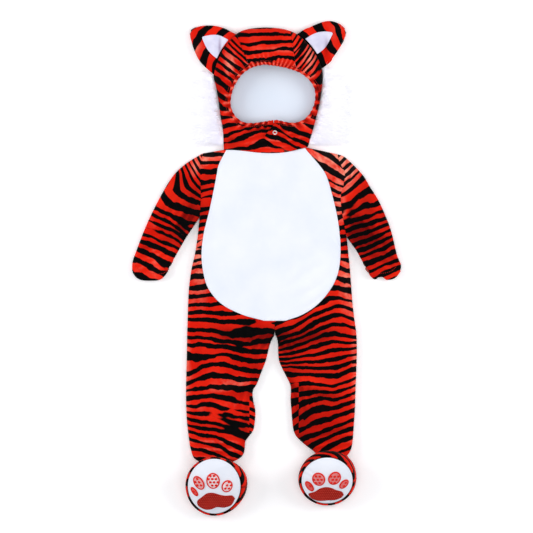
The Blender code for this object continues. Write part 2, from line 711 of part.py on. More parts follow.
def back_top_row(plan, closed, shoulder, neck):
    """Lays the first row of a back along the shoulder seam and then the back of the neck."""
    share = np.linspace(0.0, 1.0, plan.shape[1])
    corner = SHOULDER_SHARE
    centre = np.array([CENTRE_X, BACK_NECK_Y])
    near = np.array(shoulder) + (np.array(neck) - shoulder) * (share / corner)[:, None]
    far = np.array(neck) + (centre - neck) * ((share - corner) / (1 - corner))[:, None]
    plan[0] = np.where((share <= corner)[:, None], near, far)
    closed[0] = share <= corner + 1e-6


Half = namedtuple("Half", "name side inseam belly neck shoulder underarm ankle outer inner")
HALVES = (
    Half("left", SIDE_LEFT, INSEAM_LEFT, BELLY_LEFT, NECK_LEFT, SHOULDER_LEFT, UNDERARM_LEFT_Y, ANKLE_LEFT_Y,
         OUTER_LEFT, INNER_LEFT),
    Half("right", SIDE_RIGHT, INSEAM_RIGHT, BELLY_RIGHT, NECK_RIGHT, SHOULDER_RIGHT, UNDERARM_RIGHT_Y,
         ANKLE_RIGHT_Y, OUTER_RIGHT, INNER_RIGHT),
)


def make_front(half):
    rows, plan, closed = half_body(
        half.side, half.inseam, half.belly, half.neck, half.shoulder, half.underarm, half.ankle, 3, True
    )
    open_side = rows > half.underarm - 1e-6
    seams = {
        "first_column": open_side,
        "last_column": (rows > CROTCH_Y) & (np.arange(len(rows)) != BELLY_ROWS),
        "first_row": np.arange(plan.shape[1]) == plan.shape[1] - 1,
        "last_row": np.ones(plan.shape[1]),
    }
    panel(f"front_{half.name}", plan, closed, seams)
    return rows


def make_back(half):
    rows, plan, closed = half_body(
        half.side, half.inseam, half.belly, half.neck, half.shoulder, half.underarm, half.ankle, 2, False
    )
    back_top_row(plan, closed, half.shoulder, half.neck)
    open_side = rows > half.underarm - 1e-6
    seams = {
        "first_column": open_side,
        "last_column": rows > CROTCH_Y,
        "first_row": np.linspace(0.0, 1.0, plan.shape[1]) >= SHOULDER_SHARE - 1e-6,
        "last_row": np.ones(plan.shape[1]),
    }
    panel(f"back_{half.name}", plan, closed, seams, upper=False)


def make_belly(rows_left, rows_right):
    columns = np.linspace(0.0, 1.0, 15)
    plan = [[neckline_point(x) for x in np.linspace(*BELLY_TOP, len(columns))]]
    for k in range(1, BELLY_ROWS):
        start = np.array([x_at(BELLY_LEFT, rows_left[k]), rows_left[k]])
        end = np.array([x_at(BELLY_RIGHT, rows_right[k]), rows_right[k]])
        plan.append(start + (end - start) * columns[:, None])
    plan = np.array(plan)
    closed = np.zeros(plan.shape[:2], bool)
    along = np.ones(BELLY_ROWS)
    seams = {
        "first_row": np.ones(len(columns)), "last_row": np.ones(len(columns)),
        "first_column": along, "last_column": along,
    }
    panel("belly_panel", plan, closed, seams, look=WHITE_PLUSH)


def make_sleeve(half, upper):
    """A sleeve layer: columns run from the outer fold to the inner seam, rows from armhole to cuff."""
    rows = 10 if upper else 6
    side = half.side
    armhole = np.array([(x_at(side, y), y) for y in arm_levels(half.shoulder[1], half.underarm)])
    armhole[0] = half.shoulder
    outer = np.array([half.outer[int(round(95 * k / (rows - 1)))] for k in range(rows)])
    inner = np.array([half.inner[int(round(95 * k / (rows - 1)))] for k in range(rows)])
    spaced = spread(half.shoulder[1] - half.underarm, True, True, ARM_INNER)
    plan = []
    for k in range(rows):
        width = np.linalg.norm(inner[k] - outer[k])
        line = row_points(outer[k], inner[k], spread(width, True, True, ARM_INNER))
        share = np.linspace(-1.0, 1.0, len(line))
        bow = smooth((k / (rows - 1) - 0.55) / 0.45) * 18.0
        line[:, 1] -= bow * (1.0 - np.abs(share) ** 3)
        bend = 1.0 - smooth(k / (0.45 * (rows - 1)))
        line += (armhole - row_points(armhole[0], armhole[-1], spaced)) * bend
        plan.append(line)
    plan = np.array(plan)
    closed = np.zeros(plan.shape[:2], bool)
    closed[:, 0] = closed[:, -1] = True
    seams = {"first_row": np.ones(ARM_ROWS)}
    layer = "front" if upper else "back"
    panel(f"sleeve_{layer}_{half.name}", plan, closed, seams, upper=upper)


def spokes(edge_angles, rim_angles, rows, shorten=None):
    """Plan grid of a hood piece: columns are spokes round the face, rows run from the edge inwards."""
    edge = HOOD_RADIUS(edge_angles)
    if shorten is not None:
        edge = edge * (1.0 - shorten)
    rim = FACE_RADIUS(rim_angles) + 2 * CASING_RADIUS + 3 * GAP
    ends = round_face(edge_angles, edge), round_face(rim_angles, rim)
    shares = np.array(rows)[:, None, None]
    return ends[0] * (1.0 - shares) + ends[1] * shares


EDGE_ROWS = (0.0, 0.04, 0.16, 0.36, 0.58, 0.8, 1.0)


def on_silhouette(angles, slack=1e-6):
    """Whether each spoke ends on the hood's outline and not on the neckline."""
    turned = np.mod(angles, 360.0)
    left = np.degrees(math.atan2(NECK_LEFT[1] - FACE_CENTRE[1], NECK_LEFT[0] - FACE_CENTRE[0])) % 360
    right = np.degrees(math.atan2(NECK_RIGHT[1] - FACE_CENTRE[1], NECK_RIGHT[0] - FACE_CENTRE[0])) % 360
    return (turned <= left + slack) | (turned >= right - slack)


def with_corner(angles, corner):
    """The same angles, with the nearest one moved onto the corner of the neck."""
    angles = angles.copy()
    angles[np.argmin(np.abs(angles - corner))] = corner
    return angles


def corner_angle(point):
    return math.degrees(math.atan2(point[1] - FACE_CENTRE[1], point[0] - FACE_CENTRE[0]))


def flap_lift(angles):
    """How far the right side is raised where it laps over the left one."""
    return (WALL + FLAP_CLEARANCE) * smooth((-54.0 - angles) / 14.0)


def make_hood_front():
    edge = np.linspace(*CROWN_EDGE, 25)
    rim = np.linspace(*CROWN_RIM, 25)
    plan = spokes(edge, rim, EDGE_ROWS)
    closed = np.zeros(plan.shape[:2], bool)
    closed[0] = True
    side = np.ones(len(EDGE_ROWS))
    rim_seam = np.ones(plan.shape[1])
    panel("hood_crown", plan, closed, {"first_column": side, "last_column": side, "last_row": rim_seam})

    edge = with_corner(np.linspace(CROWN_EDGE[1], LEFT_END[0], 27), corner_angle(NECK_LEFT) + 360)
    rim = np.linspace(CROWN_RIM[1], LEFT_END[1], 27)
    plan = spokes(edge, rim, EDGE_ROWS)
    closed = np.zeros(plan.shape[:2], bool)
    closed[0] = on_silhouette(edge)
    neck = ~on_silhouette(edge, -1e-6)
    rim_seam = np.ones(plan.shape[1])
    panel("hood_side_left", plan, closed, {"first_column": side, "first_row": neck, "last_row": rim_seam})

    edge = with_corner(np.linspace(CROWN_EDGE[0], FLAP_END[0], 27), corner_angle(NECK_RIGHT))
    rim = np.linspace(CROWN_RIM[0], FLAP_END[1], 27)
    share = np.clip((FLAP_START - edge) / (FLAP_START - FLAP_END[0]), 0.0, 1.0)
    plan = spokes(edge, rim, EDGE_ROWS, FLAP_SHORTENED * share)
    closed = np.zeros(plan.shape[:2], bool)
    closed[0] = on_silhouette(edge)
    lift = flap_lift(np.linspace(edge, rim, len(EDGE_ROWS)))
    neck = ~on_silhouette(edge, -1e-6)
    seams = {"first_column": side, "first_row": neck, "last_row": rim_seam}
    panel("hood_side_right", plan, closed, seams, lift=lift)


def make_hood_back():
    levels_y = [BACK_NECK_Y, 236, 262, 290, 318, 344, 368, 388, 404, 415, 423, 428.5]
    left = HOOD_LINE[: np.argmax(HOOD_LINE[:, 1]) + 1]
    right = HOOD_LINE[np.argmax(HOOD_LINE[:, 1]):]
    plan = []
    for y in levels_y:
        start, end = x_at(left, y), x_at(right, y)
        edge = np.array([0.0, 1.6, 5.5, 12.5]) * min(1.0, (end - start) / 100.0)
        middle = np.linspace(edge[-1], end - start - edge[-1], 5)[1:-1]
        plan.append(row_points((start, y), (end, y), np.r_[edge, middle, end - start - edge[::-1]]))
    plan = np.array(plan)
    across = np.interp(plan[0, :, 0], [NECK_LEFT[0], CENTRE_X, NECK_RIGHT[0]], [0, 1, 2])
    across[0], across[-1] = 0, 2
    plan[0, :, 0] = np.interp(across, [0, 1, 2], [NECK_LEFT[0], CENTRE_X, NECK_RIGHT[0]])
    plan[0, :, 1] = np.interp(across, [0, 1, 2], [NECK_LEFT[1], BACK_NECK_Y, NECK_RIGHT[1]])
    closed = np.zeros(plan.shape[:2], bool)
    closed[:, 0] = closed[:, -1] = True
    closed[-1] = True
    top_line = HOOD_LINE[HOOD_LINE[:, 1] > levels_y[-2]]
    plan[-1, :, 1] = np.interp(plan[-1, :, 0], top_line[:, 0], top_line[:, 1])
    panel("hood_back", plan, closed, {"first_row": np.ones(plan.shape[1])}, upper=False)


def make_hood_lining():
    plan = []
    for y in (228, 250, 275, 300, 325, 348, 370, 388, 400, 408):
        row = [HOOD_LINE[:80], HOOD_LINE[80:]]
        start, end = x_at(row[0], y) + LINING_INSET, x_at(row[1], y) - LINING_INSET
        plan.append([(x, y) for x in np.linspace(start, end, 9)])
    plan = np.array(plan)
    panel(
        "hood_lining", plan, np.zeros(plan.shape[:2], bool), {}, look=LINING, upper=False,
        lift=-(WALL + LINING_LIFT), thick=LINING_WALL,
    )


def loft(name, rings, look):
    """Closed body through closed rings, with a face over each end."""
    rings = np.asarray(rings, float)
    count, size = rings.shape[:2]
    numbers = np.arange(count * size).reshape(count, size)
    faces = []
    for i in range(count - 1):
        faces += strip_faces(numbers[i], numbers[i + 1], True)
    faces += [tuple(numbers[0][::-1]), tuple(numbers[-1])]
    run = rings.mean(axis=1)[1] - rings.mean(axis=1)[0]
    spin = np.cross(rings[0] - rings[0].mean(0), np.roll(rings[0], -1, axis=0) - rings[0].mean(0)).sum(0)
    inside_out = np.dot(spin, run) < 0
    faces = [tuple(int(n) for n in (face[::-1] if inside_out else face)) for face in faces]
    return add_object(name, rings.reshape(-1, 3), faces, look)


def make_casing():
    """Elastic casing round the face opening, from the flap's tip round to the left side's end."""
    angles = np.linspace(CASING_START, CASING_STOP, 2 * CASING_WAVES + 1)
    turns = np.radians(angles)
    out = np.column_stack([np.cos(turns), np.sin(turns), np.zeros_like(turns)])
    path = np.array(FACE_CENTRE) + out[:, :2] * (FACE_RADIUS(angles) + CASING_RADIUS)[:, None]
    edge = path + out[:, :2] * (CASING_RADIUS + GAP)
    z = top(edge) + flap_lift(angles) - 0.5 * WALL
    rings = []
    for k in range(len(angles)):
        radius = CASING_RADIUS * (1.0 if k % 2 else 0.8)
        around = np.radians(np.arange(30, 390, 60))
        ring = out[k] * np.cos(around)[:, None] + np.array([0, 0, 1.0]) * np.sin(around)[:, None]
        rings.append(np.append(path[k], z[k]) + ring * radius)
    loft("face_casing", rings, VELOUR)


def make_snap():
    at = np.array([SNAP_AT])
    normal = slope_normals(top, at, 1)[0]
    lift = flap_lift(polar(at)[0] - 360.0)[0]
    place = np.append(at[0], top(at)[0]) + normal * (lift + GAP + SNAP_WIRE)
    bpy.ops.mesh.primitive_torus_add(
        major_segments=20, minor_segments=8, major_radius=SNAP_RADIUS * MM, minor_radius=SNAP_WIRE * MM,
        location=place * MM, rotation=Vector(normal).to_track_quat("Z", "Y").to_euler(),
    )
    made = bpy.context.object
    made.name = made.data.name = "chin_snap"
    made.data.shade_smooth()
    made.data.materials.append(material(SNAP_METAL))


def ear_plan(ear, shares_along, shares_across):
    """Plan grid of an ear: rows from its seam on the hood out to its tip."""
    upper, lower = spline(ear.upper), spline(ear.lower)
    ends = distance(HOOD_LINE, [np.array([upper[0], upper[0] + 0.01])]).argmin()
    other = distance(HOOD_LINE, [np.array([lower[0], lower[0] + 0.01])]).argmin()
    seam = spline(HOOD_LINE[min(ends, other): max(ends, other) + 1], 96)
    if ends > other:
        seam = seam[::-1]
    out = np.column_stack([-np.gradient(seam[:, 1]), np.gradient(seam[:, 0])])
    out *= np.sign((out * (seam - FACE_CENTRE)).sum(-1))[:, None] / np.linalg.norm(out, axis=1)[:, None]
    seam = seam + out * GAP
    grid = []
    for along in shares_along:
        k = int(round(along * 95))
        start, end = upper[k], lower[k]
        row = []
        for across in shares_across:
            straight = start + (end - start) * across
            root = seam[int(round(across * 95))] - (seam[0] + (seam[-1] - seam[0]) * across)
            shift = (seam[0] + (seam[-1] - seam[0]) * across - (upper[0] + (lower[0] - upper[0]) * across))
            row.append(straight + (root + shift) * (1.0 - smooth(along / 0.5)))
        grid.append(row)
    return np.array(grid), [upper, lower, np.array([upper[-1], lower[-1]])]


def ear_layer(ear, along, across, upper_layer):
    """Points of an ear's outer face over a grid of shares."""
    plan, outline = ear_plan(ear, along, across)
    middle = (EAR_ROOT_Z + (EAR_TIP_Z - EAR_ROOT_Z) * np.array(along))[:, None]
    rise = EAR_ROLL * roll(distance(plan, outline), EAR_ROLL)
    pleat = np.exp(-(((np.array(across) - 0.42) / 0.07) ** 2)) * EAR_PLEAT
    if not upper_layer:
        return np.dstack([plan, middle - rise])
    fade = (1.0 - smooth(np.array(along) / 0.7))[:, None]
    return np.dstack([plan, middle + rise - pleat * fade * (rise / EAR_ROLL)])


def make_ear(ear):
    along = np.array([0, 0.12, 0.28, 0.44, 0.6, 0.76, 0.9, 1.0])
    across = np.array([0, 0.03, 0.12, 0.26, 0.34, 0.42, 0.5, 0.66, 0.88, 0.97, 1.0])
    for upper_layer in (True, False):
        points = ear_layer(ear, along, across, upper_layer)
        normals = grid_normals(points, False)
        up = np.sign(normals[3, 5, 2]) * (1 if upper_layer else -1)
        normals *= up
        shut = np.zeros(points.shape[:2], bool)
        shut[:, 0] = shut[:, -1] = shut[-1] = True
        middle = EAR_ROOT_Z + (EAR_TIP_Z - EAR_ROOT_Z) * along
        gap = HALF_GAP if upper_layer else -HALF_GAP
        points[..., 2] = np.where(shut, middle[:, None] + gap, points[..., 2])
        outward = points - points[3, 5]
        normals = np.where(shut[..., None], without(outward, 2), normals)
        name = f"ear_{'front' if upper_layer else 'back'}_{ear.name}"
        wall(name, points, points - normals * EAR_WALL, VELOUR, up)
    inner_along = np.array([0.03, 0.14, 0.26, 0.38, 0.5, 0.58])
    rows = []
    for share in inner_along:
        narrow = share / 0.62
        first = 0.2 + 0.2 * narrow**1.5
        last = 0.64 - 0.14 * narrow**1.5
        rows.append(ear_layer(ear, [share], np.linspace(first, last, 9), True)[0])
    points = np.array(rows)
    normals = grid_normals(points, False)
    up = np.sign(normals[2, 4, 2])
    outer = points + normals * up * (GAP + PAD_WALL)
    wall(f"ear_inner_{ear.name}", outer, points + normals * up * GAP, SATIN, up)


def make_mane(name, tufts):
    half = HOOD_LINE[:80] if name == "left" else HOOD_LINE[80:]
    rings = []
    for tuft in tufts:
        root = np.array([x_at(half, tuft.root_y), tuft.root_y])
        tip = np.array([tuft.tip_x, tuft.tip_y])
        root[0] += 2 * GAP * np.sign(tip[0])
        ring = [np.append(root + (tip - root) * p.share, p.z) for p in TUFT_SECTION]
        rings.append(ring)
    loft(f"mane_{name}", rings, FUR)


def ankle_loop(bootie, turns):
    x = bootie.ankle_x + bootie.ankle_half * np.cos(turns) * 0.9999
    plan = np.column_stack([x, np.full_like(x, bootie.ankle_y)])
    z = np.where(np.sin(turns) >= 0, top(plan), bottom(plan))
    return np.column_stack([plan, z])


def sole_height(bootie):
    """Height of the sole's outer face: a slope from heel to toe with a dome on it."""
    middle, half = (bootie.heel_z + bootie.toe_z) / 2, (bootie.toe_z - bootie.heel_z) / 2

    def height(plan):
        across = (plan[..., 0] - bootie.x) / bootie.half_width
        along = (plan[..., 1] - bootie.y) / bootie.half_length
        dome = SOLE_DOME * (1.0 - np.minimum(across**2 + along**2, 1.0))
        return middle + half * along + dome

    return height


def bootie_rings(bootie, turns, shares):
    """Rings of the upper, from the ankle seam to the sole's edge, along one bend for each direction."""
    c, s = np.cos(turns), np.sin(turns)
    middle, half = (bootie.heel_z + bootie.toe_z) / 2, (bootie.toe_z - bootie.heel_z) / 2
    rim = np.column_stack([
        bootie.x + (bootie.half_width + WALL) * c,
        bootie.y + (bootie.half_length + WALL) * s,
        middle + half * s,
    ])
    swell_x = (np.where(c > 0, bootie.right, bootie.left) * 2.6 + 4.0) * c
    swell_y = np.where(s > 0, bootie.toe * 2.0, bootie.heel * 2.6 + 4.0) * s
    bend = rim + np.column_stack([swell_x, swell_y, np.zeros_like(c)])
    bend[:, 2] = 4.0 + 24.0 * s + 14.0 * s * s
    ankle = ankle_loop(bootie, turns)
    ankle[:, 1] -= HALF_GAP
    rings = []
    for t in shares:
        ring = (1 - t) ** 2 * ankle + 2 * t * (1 - t) * bend + t * t * rim
        ring[:, 2] = np.maximum(ring[:, 2], 0.0)
        rings.append(ring)
    return np.array(rings)


def make_bootie(bootie):
    turns = np.radians(np.arange(0, 360, 15))
    points = bootie_rings(bootie, turns, np.linspace(0.0, 1.0, 10))
    centre = np.array([bootie.x, bootie.y, (bootie.heel_z + bootie.toe_z) / 2])
    normals = grid_normals(points, True)
    turned = np.sign((normals * (points - centre)).sum(-1).mean())
    normals = normals * turned
    normals[0] = without(normals[0], 1)
    normals[-1] = without(normals[-1], 2)
    wall(f"bootie_upper_{bootie.name}", points, points - normals * WALL, VELOUR, turned, wrap=True)

    surface = sole_height(bootie)
    reach = np.array([bootie.half_width, bootie.half_length]) - GAP
    around = np.column_stack([np.cos(turns), np.sin(turns)]) * reach
    plan = np.array([centre[:2] + around * share for share in (1.0, 0.9, 0.7, 0.45, 0.2)])
    points = np.dstack([plan, surface(plan)])
    normals = slope_normals(surface, plan, 1)
    normals[0] = [0, 0, 1]
    wall(f"bootie_sole_{bootie.name}", points, points - normals * WALL, WHITE_PLUSH, 1, wrap=True, capped=True)


def toe_outline(pad, count):
    turns = np.radians(np.arange(count) * 360.0 / count)
    return np.column_stack([np.cos(turns), np.sin(turns)])


def paw_outline(pad, count):
    points = PAW_OUTLINES[pad.foot]
    return spline(points + points[:1], count + 1)[:-1]


def make_pad(name, pad, bootie, outline, count):
    """A pad sewn on the sole: a thin patch moved out from the sole's own surface."""
    turn = math.radians(pad.turn)
    rotation = np.array([[math.cos(turn), math.sin(turn)], [-math.sin(turn), math.cos(turn)]])
    ring = outline(pad, count) * [pad.half_width, pad.half_length] @ rotation
    plan = np.array([np.array([pad.x, pad.y]) + ring * share for share in (1.0, 0.85, 0.4)])
    surface = sole_height(bootie)
    points = np.dstack([plan, surface(plan)])
    normals = slope_normals(surface, plan, 1)
    lifts = np.array([0.5, 1.0, 1.1])[:, None, None] * PAD_WALL + PAD_LIFT
    wall(name, points + normals * lifts, points + normals * PAD_LIFT, PAW_RED, 1, wrap=True, capped=True)


def make_pads():
    booties = {bootie.name: bootie for bootie in BOOTIES}
    for pad in TOE_PADS:
        make_pad(f"toe_pad_{pad.foot}_{pad.number}", pad, booties[pad.foot], toe_outline, 12)
    for pad in MAIN_PADS:
        make_pad(f"paw_pad_{pad.foot}", pad, booties[pad.foot], paw_outline, 24)


def clear_scene():
    for old in list(bpy.data.objects):
        bpy.data.objects.remove(old)


def main():
    clear_scene()
    rows = [make_front(half) for half in HALVES]
    make_belly(*rows)
    for half in HALVES:
        make_back(half)
        make_sleeve(half, True)
        make_sleeve(half, False)
    make_hood_front()
    make_hood_back()
    make_hood_lining()
    make_casing()
    make_snap()
    for ear in EARS:
        make_ear(ear)
    for name, tufts in MANES.items():
        make_mane(name, tufts)
    for bootie in BOOTIES:
        make_bootie(bootie)
    make_pads()


main()
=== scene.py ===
# %% [markdown]
# # An infant's tiger romper, laid flat on its back
#
# The real garment is sewn from printed plush velour: two fronts, two backs, two-piece sleeves, a hood
# of three front pieces and a back, ears, soft footed booties, a white belly and a strip of long white
# fur down each side of the hood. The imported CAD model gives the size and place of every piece. This
# lesson builds each one again, finer, on the same surfaces, and gives it its cloth.

# %% Load the frame
import math
from collections import namedtuple

import bpy
import numpy as np
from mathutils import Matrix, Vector
from mathutils.geometry import delaunay_2d_cdt


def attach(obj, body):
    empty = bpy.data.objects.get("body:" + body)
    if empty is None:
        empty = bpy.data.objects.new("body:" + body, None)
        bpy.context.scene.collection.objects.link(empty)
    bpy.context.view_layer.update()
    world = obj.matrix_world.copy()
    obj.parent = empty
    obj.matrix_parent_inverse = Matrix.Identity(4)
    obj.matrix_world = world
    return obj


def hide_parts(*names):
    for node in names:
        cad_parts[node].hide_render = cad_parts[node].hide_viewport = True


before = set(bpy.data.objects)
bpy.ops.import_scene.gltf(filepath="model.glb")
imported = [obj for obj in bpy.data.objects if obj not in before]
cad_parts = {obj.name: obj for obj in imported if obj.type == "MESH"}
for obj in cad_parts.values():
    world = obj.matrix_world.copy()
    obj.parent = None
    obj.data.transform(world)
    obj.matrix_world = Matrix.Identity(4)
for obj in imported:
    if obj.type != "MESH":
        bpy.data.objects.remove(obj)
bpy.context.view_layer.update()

MM = 0.001

# %% [markdown]
# ## Outlines
#
# A pattern cutter draws flat outlines first, so the tables here are outlines too, in millimetres, seen
# from above with the hood towards +Y. The CAD source has the same numbers. A smooth curve runs through
# each short row of points, which keeps the tables small and the edges free of corners.

# %% Curves through short tables
WALL, LINING_WALL, PAD_WALL, GAP = 2.5, 1.6, 1.2, 0.3
CENTRE_X, CROTCH_Y, BELLY_END_Y, BACK_NECK_Y = 14.9, -119.5, -95.0, 214.9
NECK_LEFT, NECK_RIGHT = (-77.0, 212.5), (74.0, 216.5)
SHOULDER_LEFT, SHOULDER_RIGHT = (-115.4, 205.9), (128.7, 204.3)
UNDERARM_LEFT_Y, UNDERARM_RIGHT_Y = 90.0, 56.0
ANKLE_LEFT_Y, ANKLE_RIGHT_Y = -349.0, -337.0
BELLY_TOP = (-72.5, 69.8)
FACE_CENTRE = (12.0, 312.0)


def smooth(t):
    t = np.clip(t, 0.0, 1.0)
    return t * t * (3.0 - 2.0 * t)


def even(points, count=0, step=1.0):
    """The same line with count points, or with one about every step, and its ends kept."""
    points = np.asarray(points, float)
    run = np.r_[0.0, np.cumsum(np.linalg.norm(np.diff(points, axis=0), axis=1))]
    wanted = np.linspace(0.0, run[-1], count or max(2, int(round(run[-1] / step)) + 1))
    return np.column_stack([np.interp(wanted, run, points[:, k]) for k in range(2)])


def spline(points, count=96):
    """Points along a smooth curve through the given ones, evenly spaced."""
    p = np.array(points, float)
    p = np.vstack([2 * p[0] - p[1], p, 2 * p[-1] - p[-2]])
    made = []
    for a, b, c, d in zip(p, p[1:], p[2:], p[3:]):
        for t in np.arange(8) / 8:
            bend = 2 * a - 5 * b + 4 * c - d + t * (3 * (b - c) + d - a)
            made.append(b + 0.5 * t * (c - a + t * bend))
    return even(made + [p[-2]], count)


def both_sides(*rows):
    """Curves through rows of a height and of the x at the left and at the right."""
    return [spline([(row[side], row[0]) for row in rows]) for side in (1, 2)]


SIDE_LEFT, SIDE_RIGHT = both_sides(  # the torso and the legs, from the shoulders down
    (206, -115.4, 128.4), (190, -118.3, 131.5), (171, -119.2, 141.0), (149, -119.0, 138.8),
    (129, -118.5, 134.2), (103, -119.6, 135.5), (90, -120.6, 138.0), (56, -124.0, 144.0),
    (24, -129.0, 147.5), (0, -134.5, 150.0), (-36, -139.5, 152.6), (-66, -141.0, 155.0),
    (-95, -142.0, 158.5), (-120, -142.8, 161.8), (-153, -143.3, 162.5), (-187, -144.2, 161.5),
    (-223, -144.9, 160.0), (-256, -144.3, 159.0), (-280, -142.8, 157.3), (-302, -140.2, 155.8),
    (-318, -138.0, 154.0), (-329, -135.4, 151.0), (-333, -134.4, 148.5), (-337, -133.0, 145.5),
    (-343, -129.5, 145.0), (-349, -119.0, 145.0),
)
INSEAM_LEFT, INSEAM_RIGHT = both_sides(
    (-119.5, 14.9, 14.9), (-126, 11.2, 18.9), (-138, 6.0, 20.7), (-152, 2.4, 21.0), (-166, -0.9, 22.4),
    (-180, -6.3, 27.9), (-194, -11.7, 35.1), (-209, -17.6, 42.4), (-221, -24.6, 43.8), (-238, -23.8, 43.3),
    (-256, -20.2, 44.8), (-274, -20.7, 46.2), (-291, -23.5, 48.4), (-302, -31.0, 53.1),
    (-311, -37.6, 61.5), (-320, -38.8, 72.0), (-329, -39.6, 84.0), (-337, -43.0, 91.0),
    (-343, -49.5, 91.0), (-349, -62.0, 91.0),
)
BELLY_LEFT, BELLY_RIGHT = both_sides(
    (212.5, -72.5, 71.4), (186, -86.0, 94.5), (170, -89.5, 105.9), (146, -94.1, 114.5),
    (102, -103.3, 125.6), (65, -112.5, 131.4), (27, -117.0, 133.2), (-8, -113.9, 128.9),
    (-38, -104.3, 115.8), (-65, -80.9, 92.6), (-84, -44.0, 65.0), (-95, -4.5, 34.5),
)
NECK_LINE = spline((  # x and y, as in the tables below
    NECK_LEFT, (-60, 212.4), (-40, 210.4), (-19, 208.0), (4.5, 206.6), (27.5, 207.4), (45, 210.6),
    (60, 213.9), NECK_RIGHT,
))
OUTER_LEFT = spline((
    SHOULDER_LEFT, (-146.7, 186.3), (-170.1, 162.9), (-195.3, 120.1), (-216.9, 75.1), (-234.4, 30.2),
    (-241.0, 10.8), (-241.7, -4.0),
))
INNER_LEFT = spline((
    (-120.6, UNDERARM_LEFT_Y), (-134.8, 69.3), (-144.9, 54.0), (-154.4, 37.8), (-166.5, 16.2),
    (-177.8, -4.0),
))
OUTER_RIGHT = spline((
    SHOULDER_RIGHT, (142.7, 198.0), (171.9, 168.8), (186.3, 145.8), (203.2, 118.1), (222.8, 71.1),
    (234.5, 24.3), (241.8, 6.7), (241.4, -2.0),
))
INNER_RIGHT = spline((
    (144.0, UNDERARM_RIGHT_Y), (153.0, 43.2), (162.2, 30.2), (171.9, 12.6), (181.8, -4.0),
))
HOOD_LINE = spline((
    NECK_LEFT, (-78.3, 246), (-83.2, 276), (-87.0, 304), (-91.0, 327), (-95.0, 347), (-87.3, 374.4),
    (-73.5, 399.6), (-54.9, 420), (-36.9, 428.6), (-12.0, 432.0), (12.0, 431.8), (36.0, 428.2),
    (56.7, 419.0), (73.5, 404.0), (89.0, 383.4), (99.0, 361.0), (101.0, 337.5), (96.3, 299), (89.1, 269),
    (81.9, 242), NECK_RIGHT,
), 160)
FACE_OPENING = (
    (-3.4, 363.6), (18.9, 360.5), (38.7, 356.4), (60.3, 348.5), (76.5, 335.5), (85.0, 320.4),
    (86.0, 304.0), (81.9, 288.0), (73.0, 273.6), (60.3, 264.6), (45.9, 261.8), (31.5, 263.7),
    (16.0, 266.8), (-8.1, 263.4), (-26.1, 261.0), (-42.3, 263.4), (-54.9, 273.6), (-62.1, 288.0),
    (-63.0, 302.4), (-58.5, 320.4), (-50.5, 336.0), (-40.5, 348.6), (-24.0, 358.8),
)
print("points in the hood's edge:", len(HOOD_LINE))

# %% [markdown]
# ## The laid garment as a height over the floor
#
# Laid out, the romper is two layers of thick cloth that meet at the seams round its outline. The edge of
# such a seam rolls over like a quarter of a circle, and further in the front sinks onto the back. So one
# number decides the height at a point: how far the point lies from the outline. Every panel reads the
# same height, and panels that are sewn together meet without fitting.

# %% Distance to the closed seams
def x_at(line, y):
    order = np.argsort(line[:, 1])
    return np.interp(y, line[order, 1], line[order, 0])


def below(line, y):
    return np.vstack([[x_at(line, y), y], line[line[:, 1] < y - 1e-6]])


def above(line, y):
    return np.vstack([line[line[:, 1] > y + 1e-6], [x_at(line, y), y]])


CLOSED_LINES = [
    below(SIDE_LEFT, UNDERARM_LEFT_Y), below(SIDE_RIGHT, UNDERARM_RIGHT_Y), INSEAM_LEFT, INSEAM_RIGHT,
    OUTER_LEFT, INNER_LEFT, OUTER_RIGHT, INNER_RIGHT, np.array([SHOULDER_LEFT, NECK_LEFT]),
    np.array([SHOULDER_RIGHT, NECK_RIGHT]), HOOD_LINE,
]
EDGE_CLEARANCE = 0.06  # keeps the two layers a hair apart at a closed seam


def distance(plan, lines):
    """Distance in plan from each point to the nearest of some lines."""
    starts = np.vstack([line[:-1] for line in lines])
    steps = np.vstack([np.diff(line, axis=0) for line in lines])
    starts, steps = starts[(steps**2).sum(-1) > 1e-9], steps[(steps**2).sum(-1) > 1e-9]
    flat = plan.reshape(-1, 2)
    found = np.empty(len(flat))
    for first in range(0, len(flat), 3000):
        part = flat[first: first + 3000, None]
        along = ((part - starts) * steps).sum(-1) / (steps**2).sum(-1)
        nearest = starts + np.clip(along, 0.0, 1.0)[..., None] * steps
        found[first: first + 3000] = np.sqrt(((part - nearest) ** 2).sum(-1).min(axis=1))
    return found.reshape(plan.shape[:-1])


# %% Folds, creases and gathers
def table(columns, *rows):
    """Rows of numbers whose columns can be called by name."""
    kind = namedtuple("Row", columns)
    return [kind(*row) for row in rows]


HEIGHTS = (  # y, then the height of the seam, of the crest and of the middle, and the middle's reach
    (-352, 12.0, 25.0, 25.0, 20.0), (-325, 9.5, 19.0, 17.0, 24.0), (-280, 6.5, 12.3, 8.8, 28.0),
    (120, 6.5, 12.3, 8.5, 28.0), (212, 6.8, 13.0, 10.5, 30.0), (268, 12.5, 28.0, 34.0, 40.0),
    (330, 13.0, 30.0, 38.0, 42.0), (432, 13.0, 28.0, 36.0, 42.0),
)
FOLDS = table(
    "x y turn length width depth",
    (-134, 120, 62, 48, 10, 2.4), (-160, 92, 50, 42, 11, -2.0), (-176, 70, 12, 34, 9, 2.2),
    (-198, 44, 20, 36, 10, 2.0), (160, 96, 118, 52, 10, 2.4), (186, 84, 146, 40, 11, -2.0),
    (196, 52, 162, 36, 9, 2.2), (214, 20, 155, 30, 9, 1.8), (-40, -128, 165, 60, 11, 2.2),
    (70, -132, 16, 60, 11, 2.2), (-60, -212, 12, 46, 12, -2.4), (-52, -226, 8, 60, 9, 2.4),
    (74, -206, 168, 52, 12, -2.2), (82, -222, 164, 56, 9, 2.4), (-96, -286, 172, 52, 10, 2.0),
    (112, -296, 20, 48, 10, 2.2), (30, 232, 172, 46, 12, 2.4), (-44, 232, 20, 34, 10, 2.4),
)
